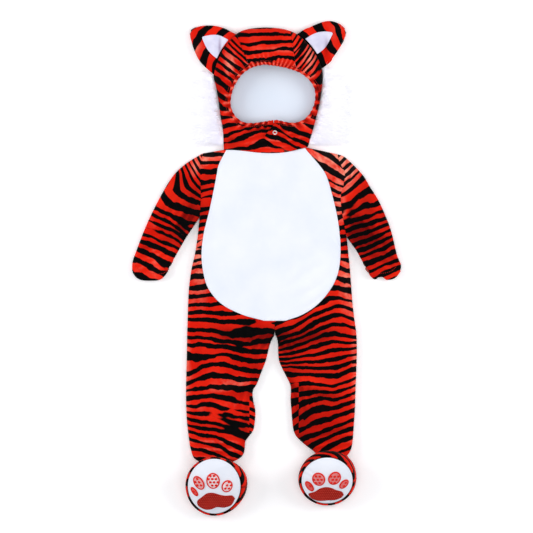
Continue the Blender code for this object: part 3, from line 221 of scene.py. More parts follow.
# Trains of small creases where the cloth bunches.
CREASES = table(
    "x y half_width half_height turn pitch depth",
    (-92, -322, 60, 26, 0, 15, 1.3), (112, -312, 55, 26, 8, 14, 1.3), (-148, 86, 26, 40, 55, 13, 1.1),
    (166, 60, 26, 40, -55, 13, 1.1), (-5, -140, 26, 30, 60, 12, 0.9), (34, -142, 22, 30, -60, 12, 0.9),
    (-210, 22, 34, 26, 25, 14, 0.8), (212, 20, 34, 26, -25, 14, 0.9), (10, 232, 80, 18, 4, 13, 1.1),
    (-30, -235, 30, 26, 80, 13, 0.9), (60, -232, 30, 26, -80, 13, 0.9), (88, -40, 40, 50, 35, 26, 0.9),
)
GATHERS = table("start stop count depth", (48, 131, 12, 2.5), (131, 262, 13, 2.8), (-80, 48, 11, 2.6))
GATHER_LENGTH = 30.0


def at_height(rows, y):
    """The columns of a table whose rows start with a height, read at any height."""
    ys, *columns = np.array(rows, float).T
    return [np.interp(y, ys, column) for column in columns]


def unevenness(plan, size, seed):
    """Smooth random numbers from -1 to 1, with a bump about every size millimetres."""
    lattice = np.random.default_rng(seed).uniform(-1, 1, (64, 64))
    place = plan / size + 400.0
    cell = np.floor(place).astype(int)
    share = smooth(place - cell)
    i, j = cell[..., 0] % 64, cell[..., 1] % 64
    low, high = (
        lattice[i, k] + (lattice[(i + 1) % 64, k] - lattice[i, k]) * share[..., 0]
        for k in (j, (j + 1) % 64)
    )
    return low + (high - low) * share[..., 1]


def polar(plan):
    """Angle in degrees and distance from the middle of the face opening."""
    away = plan - np.array(FACE_CENTRE)
    angle = np.degrees(np.arctan2(away[..., 1], away[..., 0]))
    return np.where(angle < -80.0, angle + 360.0, angle), np.linalg.norm(away, axis=-1)


def contour(line):
    """Radius round the face centre as a function of the angle in degrees."""
    angle, radius = polar(line)
    order = np.argsort(angle)
    angle, radius = angle[order], radius[order]
    angle = np.r_[angle - 360.0, angle, angle + 360.0]
    return lambda wanted: np.interp(wanted, angle, np.tile(radius, 3))


HOOD_RADIUS = contour(np.vstack([HOOD_LINE, NECK_LINE[::-1]]))
FACE_RADIUS = contour(spline(FACE_OPENING + FACE_OPENING[:1], 160))


def gathers(plan, mean=0.0):
    """Depth of the gathers that the elastic draws into the hood, less a mean share, fading outwards."""
    angle, radius = polar(plan)
    angle = angle + 1.6 * unevenness(plan, 17.0, 5)
    fade = (1.0 - smooth((radius - FACE_RADIUS(angle)) / GATHER_LENGTH)) ** 1.3
    depth = np.zeros_like(angle)
    for g in GATHERS:
        inside_span = (angle >= g.start) & (angle < g.stop)
        wave = 0.5 - 0.5 * np.cos(2 * np.pi * g.count * (angle - g.start) / (g.stop - g.start))
        depth = np.where(inside_span, g.depth * (wave**0.8 - mean), depth)
    return depth * fade * (plan[..., 1] > BACK_NECK_Y)


def turned(plan, centre, turn):
    """Distances along and across a direction, from a centre."""
    angle = math.radians(turn)
    away = plan - np.array(centre, float)
    along = away[..., 0] * math.cos(angle) + away[..., 1] * math.sin(angle)
    return along, away[..., 1] * math.cos(angle) - away[..., 0] * math.sin(angle)


def fold_depth(plan, fold):
    """One fold: level for its length, and round across it."""
    along, across = turned(plan, (fold.x, fold.y), fold.turn)
    return fold.depth * np.exp(-((along / fold.length) ** 4) - (across / fold.width) ** 2)


def folds(plan):
    depth = np.zeros(plan.shape[:-1])
    for fold in FOLDS:
        depth += fold_depth(plan, fold)
    shift = 5.0 * unevenness(plan, 34.0, 9)
    for c in CREASES:
        along, across = turned(plan, (c.x, c.y), c.turn)
        near = np.exp(-((along / c.half_width) ** 4) - (across / c.half_height) ** 4)
        depth += c.depth * near * np.sin(2 * np.pi * (across + shift) / c.pitch)
    return depth + 0.55 * unevenness(plan, 24.0, 3) + 0.25 * unevenness(plan, 11.0, 4)


# %% Heights of the two layers
def roll(away, radius):
    """Rise of a quarter circle: 0 at the edge, 1 from radius on."""
    return np.sqrt(1.0 - (1.0 - np.clip(away / radius, 0.0, 1.0)) ** 2)


def top(plan):
    """Height of the front layer's outer face."""
    seam, crest, middle, reach = at_height(HEIGHTS, plan[..., 1])
    away = np.maximum(distance(plan, CLOSED_LINES), EDGE_CLEARANCE)
    edge = crest - seam
    dip = (middle - crest) * smooth((away - edge) / reach)
    pressed = (folds(plan) + gathers(plan)) * smooth(away / 12.0)
    return seam + edge * roll(away, edge) + dip - pressed


def bottom(plan):
    """Height of the back layer's outer face, flat on the floor but for its rolled edge."""
    seam = at_height(HEIGHTS, plan[..., 1])[0]
    away = np.maximum(distance(plan, CLOSED_LINES), EDGE_CLEARANCE)
    return seam * (1.0 - roll(away, seam))


print("height at the belly's middle:", round(float(top(np.array([[10.0, 60.0]]))[0]), 1), "mm")

# %% [markdown]
# ## Cloth materials
#
# Plush velour is a knit with a short pile. Its colour is printed on the pile, so the stripes have soft,
# slightly ragged edges. A painted highlight makes the pile paler where it catches the light, and painted
# shade darkens it in gathers, folds and the hollows between parts. The stripes come from a Gabor
# texture: a field of waves that all run one way but fade in and out, so that a band tapers, forks and
# ends as a tiger's does. They read the UV map "grain", which is in metres along each panel's own grain,
# so the print turns with the cloth and breaks at the seams, as it does on the real romper.

# %% Helpers for node trees
def put(node, name, value):
    """Sets an input, or links it where value is another node's output. A colour is three numbers."""
    socket = node.inputs[name]
    if isinstance(value, bpy.types.NodeSocket):
        node.id_data.links.new(value, socket)
    else:
        socket.default_value = (*value, 1) if socket.type == "RGBA" else value


def add(tree, kind, sockets=None, **settings):
    """One node. settings are its own options, and sockets maps an input to a value or an output."""
    made = tree.nodes.new(kind)
    for name, value in settings.items():
        setattr(made, name, value)
    for name, value in (sockets or {}).items():
        put(made, name, value)
    return made


def calc(tree, operation, *values):
    return add(tree, "ShaderNodeMath", dict(enumerate(values)), operation=operation).outputs[0]


def times(tree, first, second):
    return calc(tree, "MULTIPLY", first, second)


def total(tree, first, *values):
    for value in values:
        first = calc(tree, "ADD", first, value)
    return first


def mixed(tree, share, first, second):
    return add(tree, "ShaderNodeMix", {0: share, 6: first, 7: second}, data_type="RGBA").outputs[2]


def ramp(tree, value, low, high, start=0.0, stop=1.0):
    sockets = {"Value": value, "From Min": low, "From Max": high, "To Min": start, "To Max": stop}
    return add(tree, "ShaderNodeMapRange", sockets).outputs[0]


def noise(tree, where, scale, detail=2.0):
    sockets = {"Vector": where, "Scale": scale, "Detail": detail}
    return add(tree, "ShaderNodeTexNoise", sockets).outputs[0]


def mark(tree, name):
    """A number that the piece's own mesh stores at each point."""
    return add(tree, "ShaderNodeAttribute", attribute_name=name).outputs["Fac"]


def own_place(tree):
    return add(tree, "ShaderNodeTexCoord").outputs["Object"]


def finish(name, roughness, sheen=0.0, gloss=0.25, sheen_tint=(1, 1, 1), metallic=0.0):
    """A new material with its plain numbers set on the shader itself, where the export keeps them."""
    made = bpy.data.materials.new(name)
    made.use_nodes = True
    shader = made.node_tree.nodes["Principled BSDF"]
    plain = {
        "Roughness": roughness, "Specular IOR Level": gloss, "Sheen Weight": sheen, "Sheen Roughness": 0.35,
        "Sheen Tint": sheen_tint, "Metallic": metallic,
    }
    for socket, value in plain.items():
        put(shader, socket, value)
    return made, made.node_tree, shader


def bump(tree, shader, height, strength, depth):
    sockets = {"Height": height, "Strength": strength, "Distance": depth}
    put(shader, "Normal", add(tree, "ShaderNodeBump", sockets).outputs[0])


# %% Striped velour
STRIPE_PITCH = 0.0158  # metres from one black band to the next
STRIPE_CELL, STRIPE_REACH = 0.036, 0.105  # metres across and along before the bands change their course
BACK_SHIFT = 0.0087  # the print of the back's rolled edge lies about half a band further on
# The second black is the stripes' black under a painted sheen, the dark red is painted shade, and the pale
# pink is a painted highlight on the pile.
NEARLY_BLACK, PAINTED_SHEEN_BLACK = (0.0012, 0.0012, 0.0014), (0.010, 0.006, 0.006)
PAINTED_SHADE_RED, PAINTED_SHEEN_PINK = (0.20, 0.002, 0.001), (0.98, 0.33, 0.23)


def velour_material(name, striped=True):
    made, tree, shader = finish(name, 0.8, 0.09, 0.04, (1.0, 0.66, 0.55))
    grain = add(tree, "ShaderNodeUVMap", uv_map="grain").outputs[0]
    place, brushed = own_place(tree), mark(tree, "brushed")
    patches = ramp(tree, noise(tree, place, 13.0, 3.0), 0.34, 0.66)
    streaks = ramp(tree, noise(tree, grain, 95.0, 3.0), 0.3, 0.62)
    # Painted highlight in streaks where the painted light is above 0, and painted shade where it is below
    # 0.
    pale = times(tree, calc(tree, "MAXIMUM", brushed, 0.0), streaks)
    deep = calc(tree, "MAXIMUM", times(tree, brushed, -1.0), 0.0)
    colour = mixed(tree, patches, (0.66, 0.0075, 0.0018), (0.85, 0.020, 0.0060))
    # Painted shade, then a painted highlight, over the printed red.
    colour = mixed(tree, pale, mixed(tree, deep, colour, PAINTED_SHADE_RED), PAINTED_SHEEN_PINK)
    if striped:
        along, down, _ = add(tree, "ShaderNodeSeparateXYZ", {0: grain}).outputs
        slow = ramp(tree, noise(tree, grain, 8.0, 1.0), 0.0, 1.0, -0.020, 0.020)
        quick = ramp(tree, noise(tree, grain, 32.0, 3.0), 0.0, 1.0, -0.0075, 0.0075)
        on_back = times(tree, calc(tree, "GREATER_THAN", mark(tree, "rolled"), 0.5), BACK_SHIFT)
        bent = total(tree, down, slow, quick, on_back)
        cells = add(tree, "ShaderNodeCombineXYZ", {
            0: calc(tree, "DIVIDE", bent, STRIPE_CELL), 1: calc(tree, "DIVIDE", along, STRIPE_REACH),
        }).outputs[0]
        waves = add(tree, "ShaderNodeTexGabor", {
            "Vector": cells, "Scale": 1.0, "Frequency": STRIPE_CELL / STRIPE_PITCH, "Anisotropy": 1.0,
            "Orientation": 0.0,
        }, gabor_type="2D").outputs["Value"]
        regular = times(tree, calc(tree, "SINE", times(tree, bent, 2 * math.pi / STRIPE_PITCH)), 0.19)
        drawn_out = add(tree, "ShaderNodeCombineXYZ", {0: times(tree, along, 0.42), 1: down}).outputs[0]
        width = ramp(tree, noise(tree, drawn_out, 42.0, 2.0), 0.28, 0.72, -0.12, 0.12)
        # Painted shade also widens the black bands a little.
        level = calc(tree, "SUBTRACT", total(tree, waves, regular, width), times(tree, deep, 0.07))
        # A painted sheen greys the black where the pile has a painted highlight.
        black = mixed(tree, pale, NEARLY_BLACK, PAINTED_SHEEN_BLACK)
        colour = mixed(tree, ramp(tree, level, 0.489, 0.515), black, colour)
    put(shader, "Base Color", colour)
    put(shader, "Roughness", ramp(tree, noise(tree, place, 140.0, 2.0), 0.3, 0.7, 0.7, 0.88))
    bump(tree, shader, total(tree, noise(tree, place, 1300.0, 2.0), times(tree, streaks, 0.8)), 0.5, 0.0008)
    return made


# %% The plain cloths
def soft_material(name, first, second, roughness, sheen, mottle, grain_size, bump_depth, crease=None):
    """A plain pile or knit: two close colours in soft patches over a fine bump, and a painted shade colour
    for creases.
    """
    made, tree, shader = finish(name, roughness, sheen, 0.12)
    place = own_place(tree)
    colour = mixed(tree, ramp(tree, noise(tree, place, mottle, 3.0), 0.3, 0.7), first, second)
    # Painted shade: the crease colour where the painted light is below 0.
    if crease:
        colour = mixed(tree, ramp(tree, mark(tree, "brushed"), 0.0, -1.0), colour, crease)
    put(shader, "Base Color", colour)
    rough = ramp(tree, noise(tree, place, 90.0, 2.0), 0.3, 0.7, roughness - 0.08, roughness + 0.08)
    put(shader, "Roughness", rough)
    bump(tree, shader, noise(tree, place, 1.0 / grain_size, 3.0), 0.5, bump_depth)
    return made


SOFT = {  # two close colours, roughness, sheen, patches a metre, grain and bump in metres, then a painted crease shade if any
    "white_plush_pile": ((0.80, 0.835, 0.93), (0.87, 0.89, 0.96), 0.85, 0.25, 16, 0.0011, 0.0006),
    "lining_knit": ((0.72, 0.80, 0.92), (0.78, 0.85, 0.95), 0.75, 0.1, 9, 0.0009, 0.0003),
    # The satin's third colour is painted shade in its crease.
    "ear_satin_weave": (
        (0.66, 0.65, 0.84), (0.80, 0.78, 0.92), 0.42, 0.1, 60, 0.0007, 0.0002, (0.34, 0.26, 0.40)
    ),
    "velour_backing": ((0.40, 0.07, 0.05), (0.52, 0.12, 0.09), 0.9, 0.0, 40, 0.0012, 0.0003),
    "toe_pad_print": ((0.62, 0.012, 0.005), (0.74, 0.020, 0.010), 0.6, 0.02, 50, 0.0009, 0.0002),
    # The large pad's dark red is its darker print with painted shade of the heel, which turns away from the
    # light.
    "paw_pad_print": ((0.31, 0.009, 0.004), (0.41, 0.014, 0.007), 0.65, 0.02, 40, 0.0009, 0.0003),
    "paw_pad_dash": ((0.50, 0.034, 0.02), (0.60, 0.055, 0.035), 0.6, 0.02, 60, 0.0009, 0.0002),
    "white_thread": ((0.78, 0.81, 0.90), (0.86, 0.88, 0.94), 0.6, 0.1, 300, 0.0004, 0.0001),
    "red_thread": ((0.45, 0.010, 0.004), (0.62, 0.02, 0.008), 0.6, 0.1, 300, 0.0004, 0.0001),
    "pale_floor": ((0.93, 0.93, 0.94), (0.95, 0.95, 0.955), 0.8, 0.0, 3, 0.004, 0.0002),
}
soft = {name: soft_material(name, *row) for name, row in SOFT.items()}


# %% Toe mesh, white fur and the snap's metal
def toe_material():
    """Red at the rim and pale inside, as strong as the pad's own mesh is: the dots on it are pieces."""
    made, tree, shader = finish("toe_pad_mesh", 0.6, 0.02, 0.12)
    place = own_place(tree)
    worn = ramp(tree, noise(tree, place, 260.0, 2.0), 0.25, 0.6, 0.55, 1.0)
    inner = ramp(tree, mark(tree, "middle"), 2.7, 3.1)
    share = times(tree, inner, times(tree, mark(tree, "mesh_share"), worn))
    red = mixed(tree, worn, (0.60, 0.012, 0.006), (0.72, 0.020, 0.010))
    put(shader, "Base Color", mixed(tree, share, red, (0.90, 0.78, 0.80)))
    bump(tree, shader, noise(tree, place, 1100.0, 3.0), 0.5, 0.0002)
    return made


def fur_material():
    """White hair, with a painted lavender shade deep down beside the hood.

    White hair passes light on to the hair behind it, which a solid strand can't: a faint glow stands in.
    """
    made, tree, shader = finish("white_fur_hair", 0.6, 0.1, 0.12)
    place = own_place(tree)
    out = calc(tree, "ABSOLUTE", add(tree, "ShaderNodeSeparateXYZ", {0: place}).outputs[0])
    uneven = ramp(tree, noise(tree, place, 240.0, 2.0), 0.3, 0.7, -0.25, 0.3)
    # Painted shade: lavender near the hood, white further out.
    share = ramp(tree, total(tree, ramp(tree, out, 0.080, 0.122, 0.0, 0.7), uneven), 0.0, 1.0)
    put(shader, "Base Color", mixed(tree, share, (0.86, 0.84, 0.95), (0.99, 0.99, 1.0)))
    put(shader, "Emission Color", (0.95, 0.95, 1.0))
    put(shader, "Emission Strength", 0.19)
    bump(tree, shader, noise(tree, place, 500.0, 2.0), 0.4, 0.0004)
    return made


def snap_material():
    made, tree, shader = finish("snap_metal_ring", 0.3, metallic=0.75)
    share = ramp(tree, noise(tree, own_place(tree), 700.0), 0.35, 0.65)
    put(shader, "Base Color", mixed(tree, share, (0.86, 0.76, 0.74), (0.97, 0.93, 0.92)))
    return made


FUR = fur_material()
SNAP_METAL = snap_material()
PLAIN_VELOUR = velour_material("plain_velour_pile", striped=False)
Stuff = namedtuple("Stuff", "looks slot")  # a cloth's material outside, one inside if any, and its slot
STRIPED = Stuff([velour_material("striped_velour_pile"), soft["velour_backing"]], "striped_velour")
WHITE_PLUSH = Stuff([soft["white_plush_pile"]], "white_plush")
LINING = Stuff([soft["lining_knit"]], "lining")
SATIN = Stuff([soft["ear_satin_weave"]], "ear_satin")
TOE_PRINT = Stuff([toe_material()], "paw_print")
PAW_PRINT = Stuff([soft["paw_pad_print"]], "paw_print")
print("materials:", len(bpy.data.materials))


# %% [markdown]
# ## From an outline to a wall of cloth
#
# A cut piece is filled with small triangles inside its outline, and each point is lifted to the height
# of its layer. Near the edge the points sit in close rings, so that a rolled edge stays round. The wall
# comes from moving every point inwards along its normal, and the raw edge gets a rounded rim. A grid of
# rows would need a different layout for each outline, where this takes them all.

# %% Fill an outline with triangles
Run = namedtuple("Run", "points closed")  # a stretch of an outline; closed where the two layers meet
RIM_BULGE = 0.8
EDGE_RINGS = (0.3, 0.9, 1.9, 3.2)


def edge_of(runs, step):
    """Points round an outline, anticlockwise, with the direction inwards at each."""
    parts = [even(run.points, step=step)[:-1] for run in runs]
    open_edge = np.concatenate([np.full(len(p), not r.closed) for p, r in zip(parts, runs)])
    border = np.vstack(parts)
    ahead = np.roll(border, -1, axis=0)
    if (border[:, 0] * ahead[:, 1] - ahead[:, 0] * border[:, 1]).sum() < 0:
        border, open_edge = border[::-1], open_edge[::-1]
    along = np.roll(border, -1, axis=0) - np.roll(border, 1, axis=0)
    inward = np.column_stack([-along[:, 1], along[:, 0]])
    inward /= np.linalg.norm(inward, axis=1)[:, None]
    return border + inward * (open_edge * RIM_BULGE)[:, None], inward


def inside(points, border):
    x, y = points[:, :1], points[:, 1:]
    ahead = np.roll(border, -1, axis=0)
    crosses = (border[:, 1] > y) != (ahead[:, 1] > y)
    slope = (ahead[:, 0] - border[:, 0]) / (ahead[:, 1] - border[:, 1] + 1e-12)
    return ((crosses & (x < border[:, 0] + (y - border[:, 1]) * slope)).sum(axis=1) % 2).astype(bool)


def fill(runs, step):
    """Points in plan and the triangles between them."""
    border, inward = edge_of(runs, step)
    loop = [np.vstack([border, border[:1]])]
    low, high = border.min(axis=0), border.max(axis=0)
    ys = np.arange(low[1], high[1], step * 0.87)
    xs = np.arange(low[0] - step, high[0], step)
    field = np.array([(x + 0.5 * step * (k % 2), y) for k, y in enumerate(ys) for x in xs])
    field = field[inside(field, border)]
    field = field[distance(field, loop) > EDGE_RINGS[-1] + 0.55 * step]
    rings = []
    for away in EDGE_RINGS:
        ring = border + inward * away
        ring = ring[inside(ring, border)]
        rings.append(ring[distance(ring, loop) > 0.93 * away])
    points = np.vstack([border, *rings, field])
    edges = [(k, (k + 1) % len(border)) for k in range(len(border))]
    found = delaunay_2d_cdt([Vector(p) for p in points.tolist()], edges, [], 1, 1e-5)
    return np.array([tuple(v) for v in found[0]]), np.array(found[2])


# %% Painted highlights and painted shade on the pile
PAINTED_LIGHT_SPOTS = table(  # painted highlight, or painted shade where the share is below 0
    "x y half_width half_height share",
    (112, 198, 34, 20, 0.95), (134, 110, 18, 80, 0.8), (152, 176, 14, 26, 0.9), (-113, 198, 13, 14, 0.9),
    (-120, 22, 15, 70, 0.7), (148, -20, 16, 60, 0.6), (-90, 203, 26, 10, 0.5), (200, 110, 9, 46, 0.45),
    (-130, 178, 12, 14, 0.7), (160, -190, 8, 110, 0.5), (-145, -200, 7, 120, 0.5), (-66, 366, 10, 18, 0.9),
    (78, 372, 10, 24, 0.85), (-40, 236, 26, 12, 0.35), (20, 232, 40, 8, 0.4), (-200, 40, 9, 60, 0.25),
    (30, 392, 40, 6, 0.3), (-128, 392, 10, 16, 0.4), (-126, 92, 22, 30, -0.9), (150, 60, 22, 34, -0.95),
    (14, -126, 26, 16, -0.8), (180, 70, 26, 60, -0.5), (-150, 60, 18, 50, -0.45), (40, -190, 18, 60, -0.5),
    (-20, -190, 12, 50, -0.4), (60, -300, 22, 36, -0.5), (-38, -290, 10, 40, -0.5),
    (-86, 300, 8, 60, -0.5), (96, 300, 9, 56, -0.6), (-60, 235, 18, 16, -0.5), (-40, -120, 60, 12, -0.4),
    (70, -120, 60, 12, -0.4), (-10, 252, 40, 7, -0.5), (196, 66, 50, 90, -0.42),
    (88, -240, 62, 110, -0.42), (-60, -130, 90, 70, -0.16), (-170, 80, 40, 90, -0.2),
    (80, -90, 60, 40, -0.2), (-84, 398, 2.4, 15, -0.8), (108, 398, 4, 14, -0.7),
    (-146, 150, 30, 40, -0.18), (-100, 170, 14, 30, -0.3),
)
# Where the back's edge shows at the inside of a knee.
STRIPS = table("x way low high", (-30.8, 1, -303, -230), (58.0, -1, -300, -206))


def rolled_share(points):
    """Above 0.5 where the cloth in front is the back piece's edge, which has rolled round."""
    share = np.zeros(len(points))
    for s in STRIPS:
        x, y = points[:, 0], points[:, 1]
        edges = (s.way * (x - s.x), s.way * (CENTRE_X - x), y - s.low, s.high - y)
        share = np.maximum(share, np.clip(0.5 + np.minimum.reduce(edges) / 5.0, 0.0, 1.0))
    return share


# At each point, a painted highlight above 0 and painted shade below 0.
def painted_light_share(points):
    share = np.zeros(len(points))
    for g in PAINTED_LIGHT_SPOTS:
        away = ((points[:, 0] - g.x) / g.half_width) ** 2 + ((points[:, 1] - g.y) / g.half_height) ** 2
        share += g.share * np.exp(-away)
    plan = points[:, :2]
    # Painted shade in the valleys of gathers and folds, and a painted highlight on their crests.
    share -= 0.6 * gathers(plan, 0.45) + 0.16 * np.clip(folds(plan), -2.5, 2.5)
    return np.clip(share, -1.0, 1.0)


# %% Give the filled outline its wall
pieces = {}


def show(thing):
    bpy.context.scene.collection.objects.link(thing)


def store(mesh, name, values, kind="FLOAT"):
    """Keeps a number or a vector at each point of a mesh, for materials and node trees to read."""
    field = "value" if kind == "FLOAT" else "vector"
    values = np.asarray(values).astype(np.float32).ravel()
    mesh.attributes.new(name, kind, "POINT").data.foreach_set(field, values)


def vertex_normals(points, faces):
    corners = points[faces]
    cross = np.cross(corners[:, 1] - corners[:, 0], corners[:, 2] - corners[:, 0])
    normals = np.zeros_like(points)
    for k in range(3):
        np.add.at(normals, faces[:, k], cross)
    return normals / np.maximum(np.linalg.norm(normals, axis=1, keepdims=True), 1e-12)


def new_piece(name, points, faces, grain, looks, marks=None):
    """A mesh object in metres, with its grain as a UV map and its painted highlight and shade as an
    attribute.
    """
    mesh = bpy.data.meshes.new(name)
    mesh.from_pydata((points * MM).tolist(), [], [tuple(face) for face in faces])
    for look in looks:
        mesh.materials.append(look)
    if marks is not None:
        mesh.polygons.foreach_set("material_index", np.asarray(marks, np.int32))
    layer = mesh.uv_layers.new(name="grain")
    corners = np.empty(len(mesh.loops), np.int32)
    mesh.loops.foreach_get("vertex_index", corners)
    layer.data.foreach_set("uv", (grain[corners] * MM).astype(np.float32).ravel())
    store(mesh, "brushed", painted_light_share(points))
    store(mesh, "rolled", rolled_share(points))
    mesh.shade_smooth()
    made = bpy.data.objects.new(name, mesh)
    show(made)
    pieces[name] = made
    return made


def shell(name, outer, faces, grain, looks, thick=WALL):
    """A closed wall under an outer face, with a rounded rim. Gives the object and the outer area."""
    count = len(outer)
    normals = vertex_normals(outer, faces)
    ends = np.vstack([faces[:, [0, 1]], faces[:, [1, 2]], faces[:, [2, 0]]])
    _, place, uses = np.unique(np.sort(ends, axis=1), axis=0, return_inverse=True, return_counts=True)
    border = ends[uses[place.ravel()] == 1]
    side = np.cross(outer[border[:, 1]] - outer[border[:, 0]], normals[border[:, 0]])
    push = np.zeros_like(outer)
    np.add.at(push, border[:, 0], side)
    np.add.at(push, border[:, 1], side)
    rim = np.unique(border)
    push = push[rim] / np.maximum(np.linalg.norm(push[rim], axis=1, keepdims=True), 1e-12)
    middle = outer[rim] - normals[rim] * thick / 2 + push * min(RIM_BULGE, 0.45 * thick)
    number = np.zeros(count, int)
    number[rim] = 2 * count + np.arange(len(rim))
    a, b = border[:, 0], border[:, 1]
    near = np.column_stack([b, a, number[a], number[b]])
    far = np.column_stack([number[b], number[a], a + count, b + count])
    points = np.vstack([outer, outer - normals * thick, middle])
    points[:, 2] = np.maximum(points[:, 2], 0.0)  # nothing reaches below the floor
    made_faces = faces.tolist() + near.tolist() + far.tolist() + (faces[:, ::-1] + count).tolist()
    marks = np.zeros(len(made_faces), int)
    marks[-len(faces):] = len(looks) - 1
    made = new_piece(name, points, made_faces, np.vstack([grain, grain, grain[rim]]), looks, marks)
    corners = outer[faces]
    area = np.linalg.norm(np.cross(corners[:, 1] - corners[:, 0], corners[:, 2] - corners[:, 0]), axis=1)
    return made, area.sum() / 2 * MM * MM


def stands_for(piece, node):
    """What each finished piece tells the frame: its body, and the solid it replaces."""
    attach(piece, "root")
    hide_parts(node)


def cloth(name, node, outer, faces, grain, stuff, rests_on, thick=WALL, held="laid", cut=None):
    """A wall of cloth, whose cut size is printed. cut holds points as they lie on the flat cloth."""
    made, area = shell(name, outer, faces, grain, stuff.looks, thick)
    cut = grain if cut is None else cut
    size = (cut.max(axis=0) - cut.min(axis=0)) * MM
    size = size * math.sqrt(max(1.0, 1.02 * area / (size[0] * size[1])))
    stands_for(made, node)
    print(f"{name}: {len(faces)} faces outside, cut {size[0]:.3f} x {size[1]:.3f} m, {area:.4f} m2")
    return made


def laid(name, node, runs, surface, grain, stuff, rests_on, step=2.2, lift=None, thick=WALL):
    """A panel of the front (surface top) or back (surface bottom) layer, from its outline."""
    plan, faces = fill(runs, step)
    z = surface(plan) + (0.0 if lift is None else lift(plan))
    if surface is bottom and lift is None:
        faces = faces[:, ::-1]
    outer = np.column_stack([plan, z])
    return cloth(name, node, outer, faces, grain(plan), stuff, rests_on, thick, cut=plan)


# %% [markdown]
# ## A floor, soft light and the camera
#
# The photograph looks straight down on the romper, so the camera hangs far above it with a long lens:
# far enough that the raised feet don't slide outwards. Two wide lamps at the sides and one overhead
# stand for the soft boxes of a studio. The side lamps light the rolled edges, which is where the real
# velour shows its pale pile.

# %% Camera, lights and floor
VIEW_WIDTH, CAMERA_HEIGHT, SENSOR = 0.9594, 9.0, 36.0
camera_data = bpy.data.cameras.new("view_from_above")
camera_data.sensor_width = SENSOR
camera_data.lens = SENSOR * CAMERA_HEIGHT / VIEW_WIDTH
camera_data.clip_end = 60.0
camera = bpy.data.objects.new("view_from_above", camera_data)
camera.location = (0.0, 0.0027, CAMERA_HEIGHT)
show(camera)
bpy.context.scene.camera = camera

LAMPS = table(
    "name x y z size power", ("left_soft_box", -2.0, 0.5, 1.2, 1.3, 25.0),
    ("right_soft_box", 2.0, 0.5, 1.4, 1.4, 25.0), ("overhead", 0.05, -0.25, 2.9, 2.2, 30.0),
)
for lamp in LAMPS:
    light = bpy.data.lights.new(lamp.name, "AREA")
    light.size, light.energy = lamp.size, lamp.power
    holder = bpy.data.objects.new(lamp.name, light)
    holder.location = (lamp.x, lamp.y, lamp.z)
    aim = Vector((0.0, 0.05, 0.0)) - holder.location
    holder.rotation_euler = aim.to_track_quat("-Z", "Y").to_euler()
    holder.visible_camera = False
    show(holder)

world = bpy.data.worlds.new("studio")
world.use_nodes = True
put(world.node_tree.nodes["Background"], "Color", (0.93, 0.96, 1.0))
put(world.node_tree.nodes["Background"], "Strength", 0.40)
bpy.context.scene.world = world
bpy.context.scene.view_settings.view_transform = "Standard"

# The floor is a lit table, which keeps it white between the legs.
floor_shader = soft["pale_floor"].node_tree.nodes["Principled BSDF"]
put(floor_shader, "Emission Color", (1.0, 1.0, 1.0))
put(floor_shader, "Emission Strength", 0.14)
FLOOR_HALF, FLOOR_Z = 6000.0, -0.3
floor_points = np.array([
    (x * FLOOR_HALF, y * FLOOR_HALF, FLOOR_Z) for x, y in ((-1, -1), (1, -1), (1, 1), (-1, 1))
])
floor = new_piece("floor", floor_points, [(0, 1, 2, 3)], floor_points[:, :2], [soft["pale_floor"]])
del pieces["floor"]
print("lens:", round(camera_data.lens, 1), "mm at", CAMERA_HEIGHT, "m")


# %% [markdown]
# ## Fronts, belly and backs
#
# Each front is one piece from the shoulder to the ankle, cut away at the middle for the white belly,
# and each back is one piece from the shoulder to the ankle. The print lies a little differently on each,
# because pieces are cut wherever the cloth has room. The tables of slants say how far a stripe leans at
# each height, on either side of the panel's pivot.

# %% Body panels
def slants(*rows):
    """Rows of a height and a lean, with a second lean where the right of the pivot differs."""
    return [(row[0], row[1], row[-1]) for row in rows]


LEFT_SLANTS = slants(
    (-335, 0.5), (-290, 0.35, 0.3), (-240, -0.1, 0.25), (-215, -0.6, 0.1), (-185, -0.7, 0.15),
    (-150, 0.2, 0.05), (-90, 0.0), (-30, -0.1), (30, -0.5), (90, -0.35), (150, 0.0),
)
RIGHT_SLANTS = slants(
    (-335, -0.5), (-280, -0.35, -0.45), (-235, -0.05, -0.5), (-190, 0.0, -0.5), (-160, -0.25, -0.1),
    (-120, -0.5, 0.55), (-50, -0.55, 0.5), (0, -0.2, 0.1), (80, 0.05), (130, 0.25), (200, 0.6),
)


def leaning(rows, pivot, shift):
    """Grain of a panel whose stripes lean by a different amount at each height and side."""
    def grain(plan):
        away = plan[:, 0] - pivot
        bent = np.sqrt(away**2 + 22.0**2) - 22.0
        left, right = at_height(rows, plan[:, 1])
        down = plan[:, 1] + left * (away - bent) / 2 + right * (away + bent) / 2
        down = down + 1.6 * gathers(plan[:, :2], 0.5)
        return np.column_stack([plan[:, 0] + shift[0], down + shift[1]])

    return grain


def straight(shift):
    return lambda plan: plan + np.array(shift)


HALVES = table(
    "name side inseam belly neck belly_neck shoulder underarm ankle slants pivot shift",
    ("left", SIDE_LEFT, INSEAM_LEFT, BELLY_LEFT, NECK_LEFT, BELLY_TOP[0], SHOULDER_LEFT,
     UNDERARM_LEFT_Y, ANKLE_LEFT_Y, LEFT_SLANTS, -112, (480, 171)),
    ("right", SIDE_RIGHT, INSEAM_RIGHT, BELLY_RIGHT, NECK_RIGHT, BELLY_TOP[1], SHOULDER_RIGHT,
     UNDERARM_RIGHT_Y, ANKLE_RIGHT_Y, RIGHT_SLANTS, 122, (844, 884)),
)


def on_neck(x):
    """The point of the neck line above an x."""
    return (x, np.interp(x, NECK_LINE[:, 0], NECK_LINE[:, 1]))


def neck_between(start, stop):
    low, high = sorted((start, stop))
    line = NECK_LINE[(NECK_LINE[:, 0] > low) & (NECK_LINE[:, 0] < high)]
    return np.vstack([on_neck(low), line, on_neck(high)])


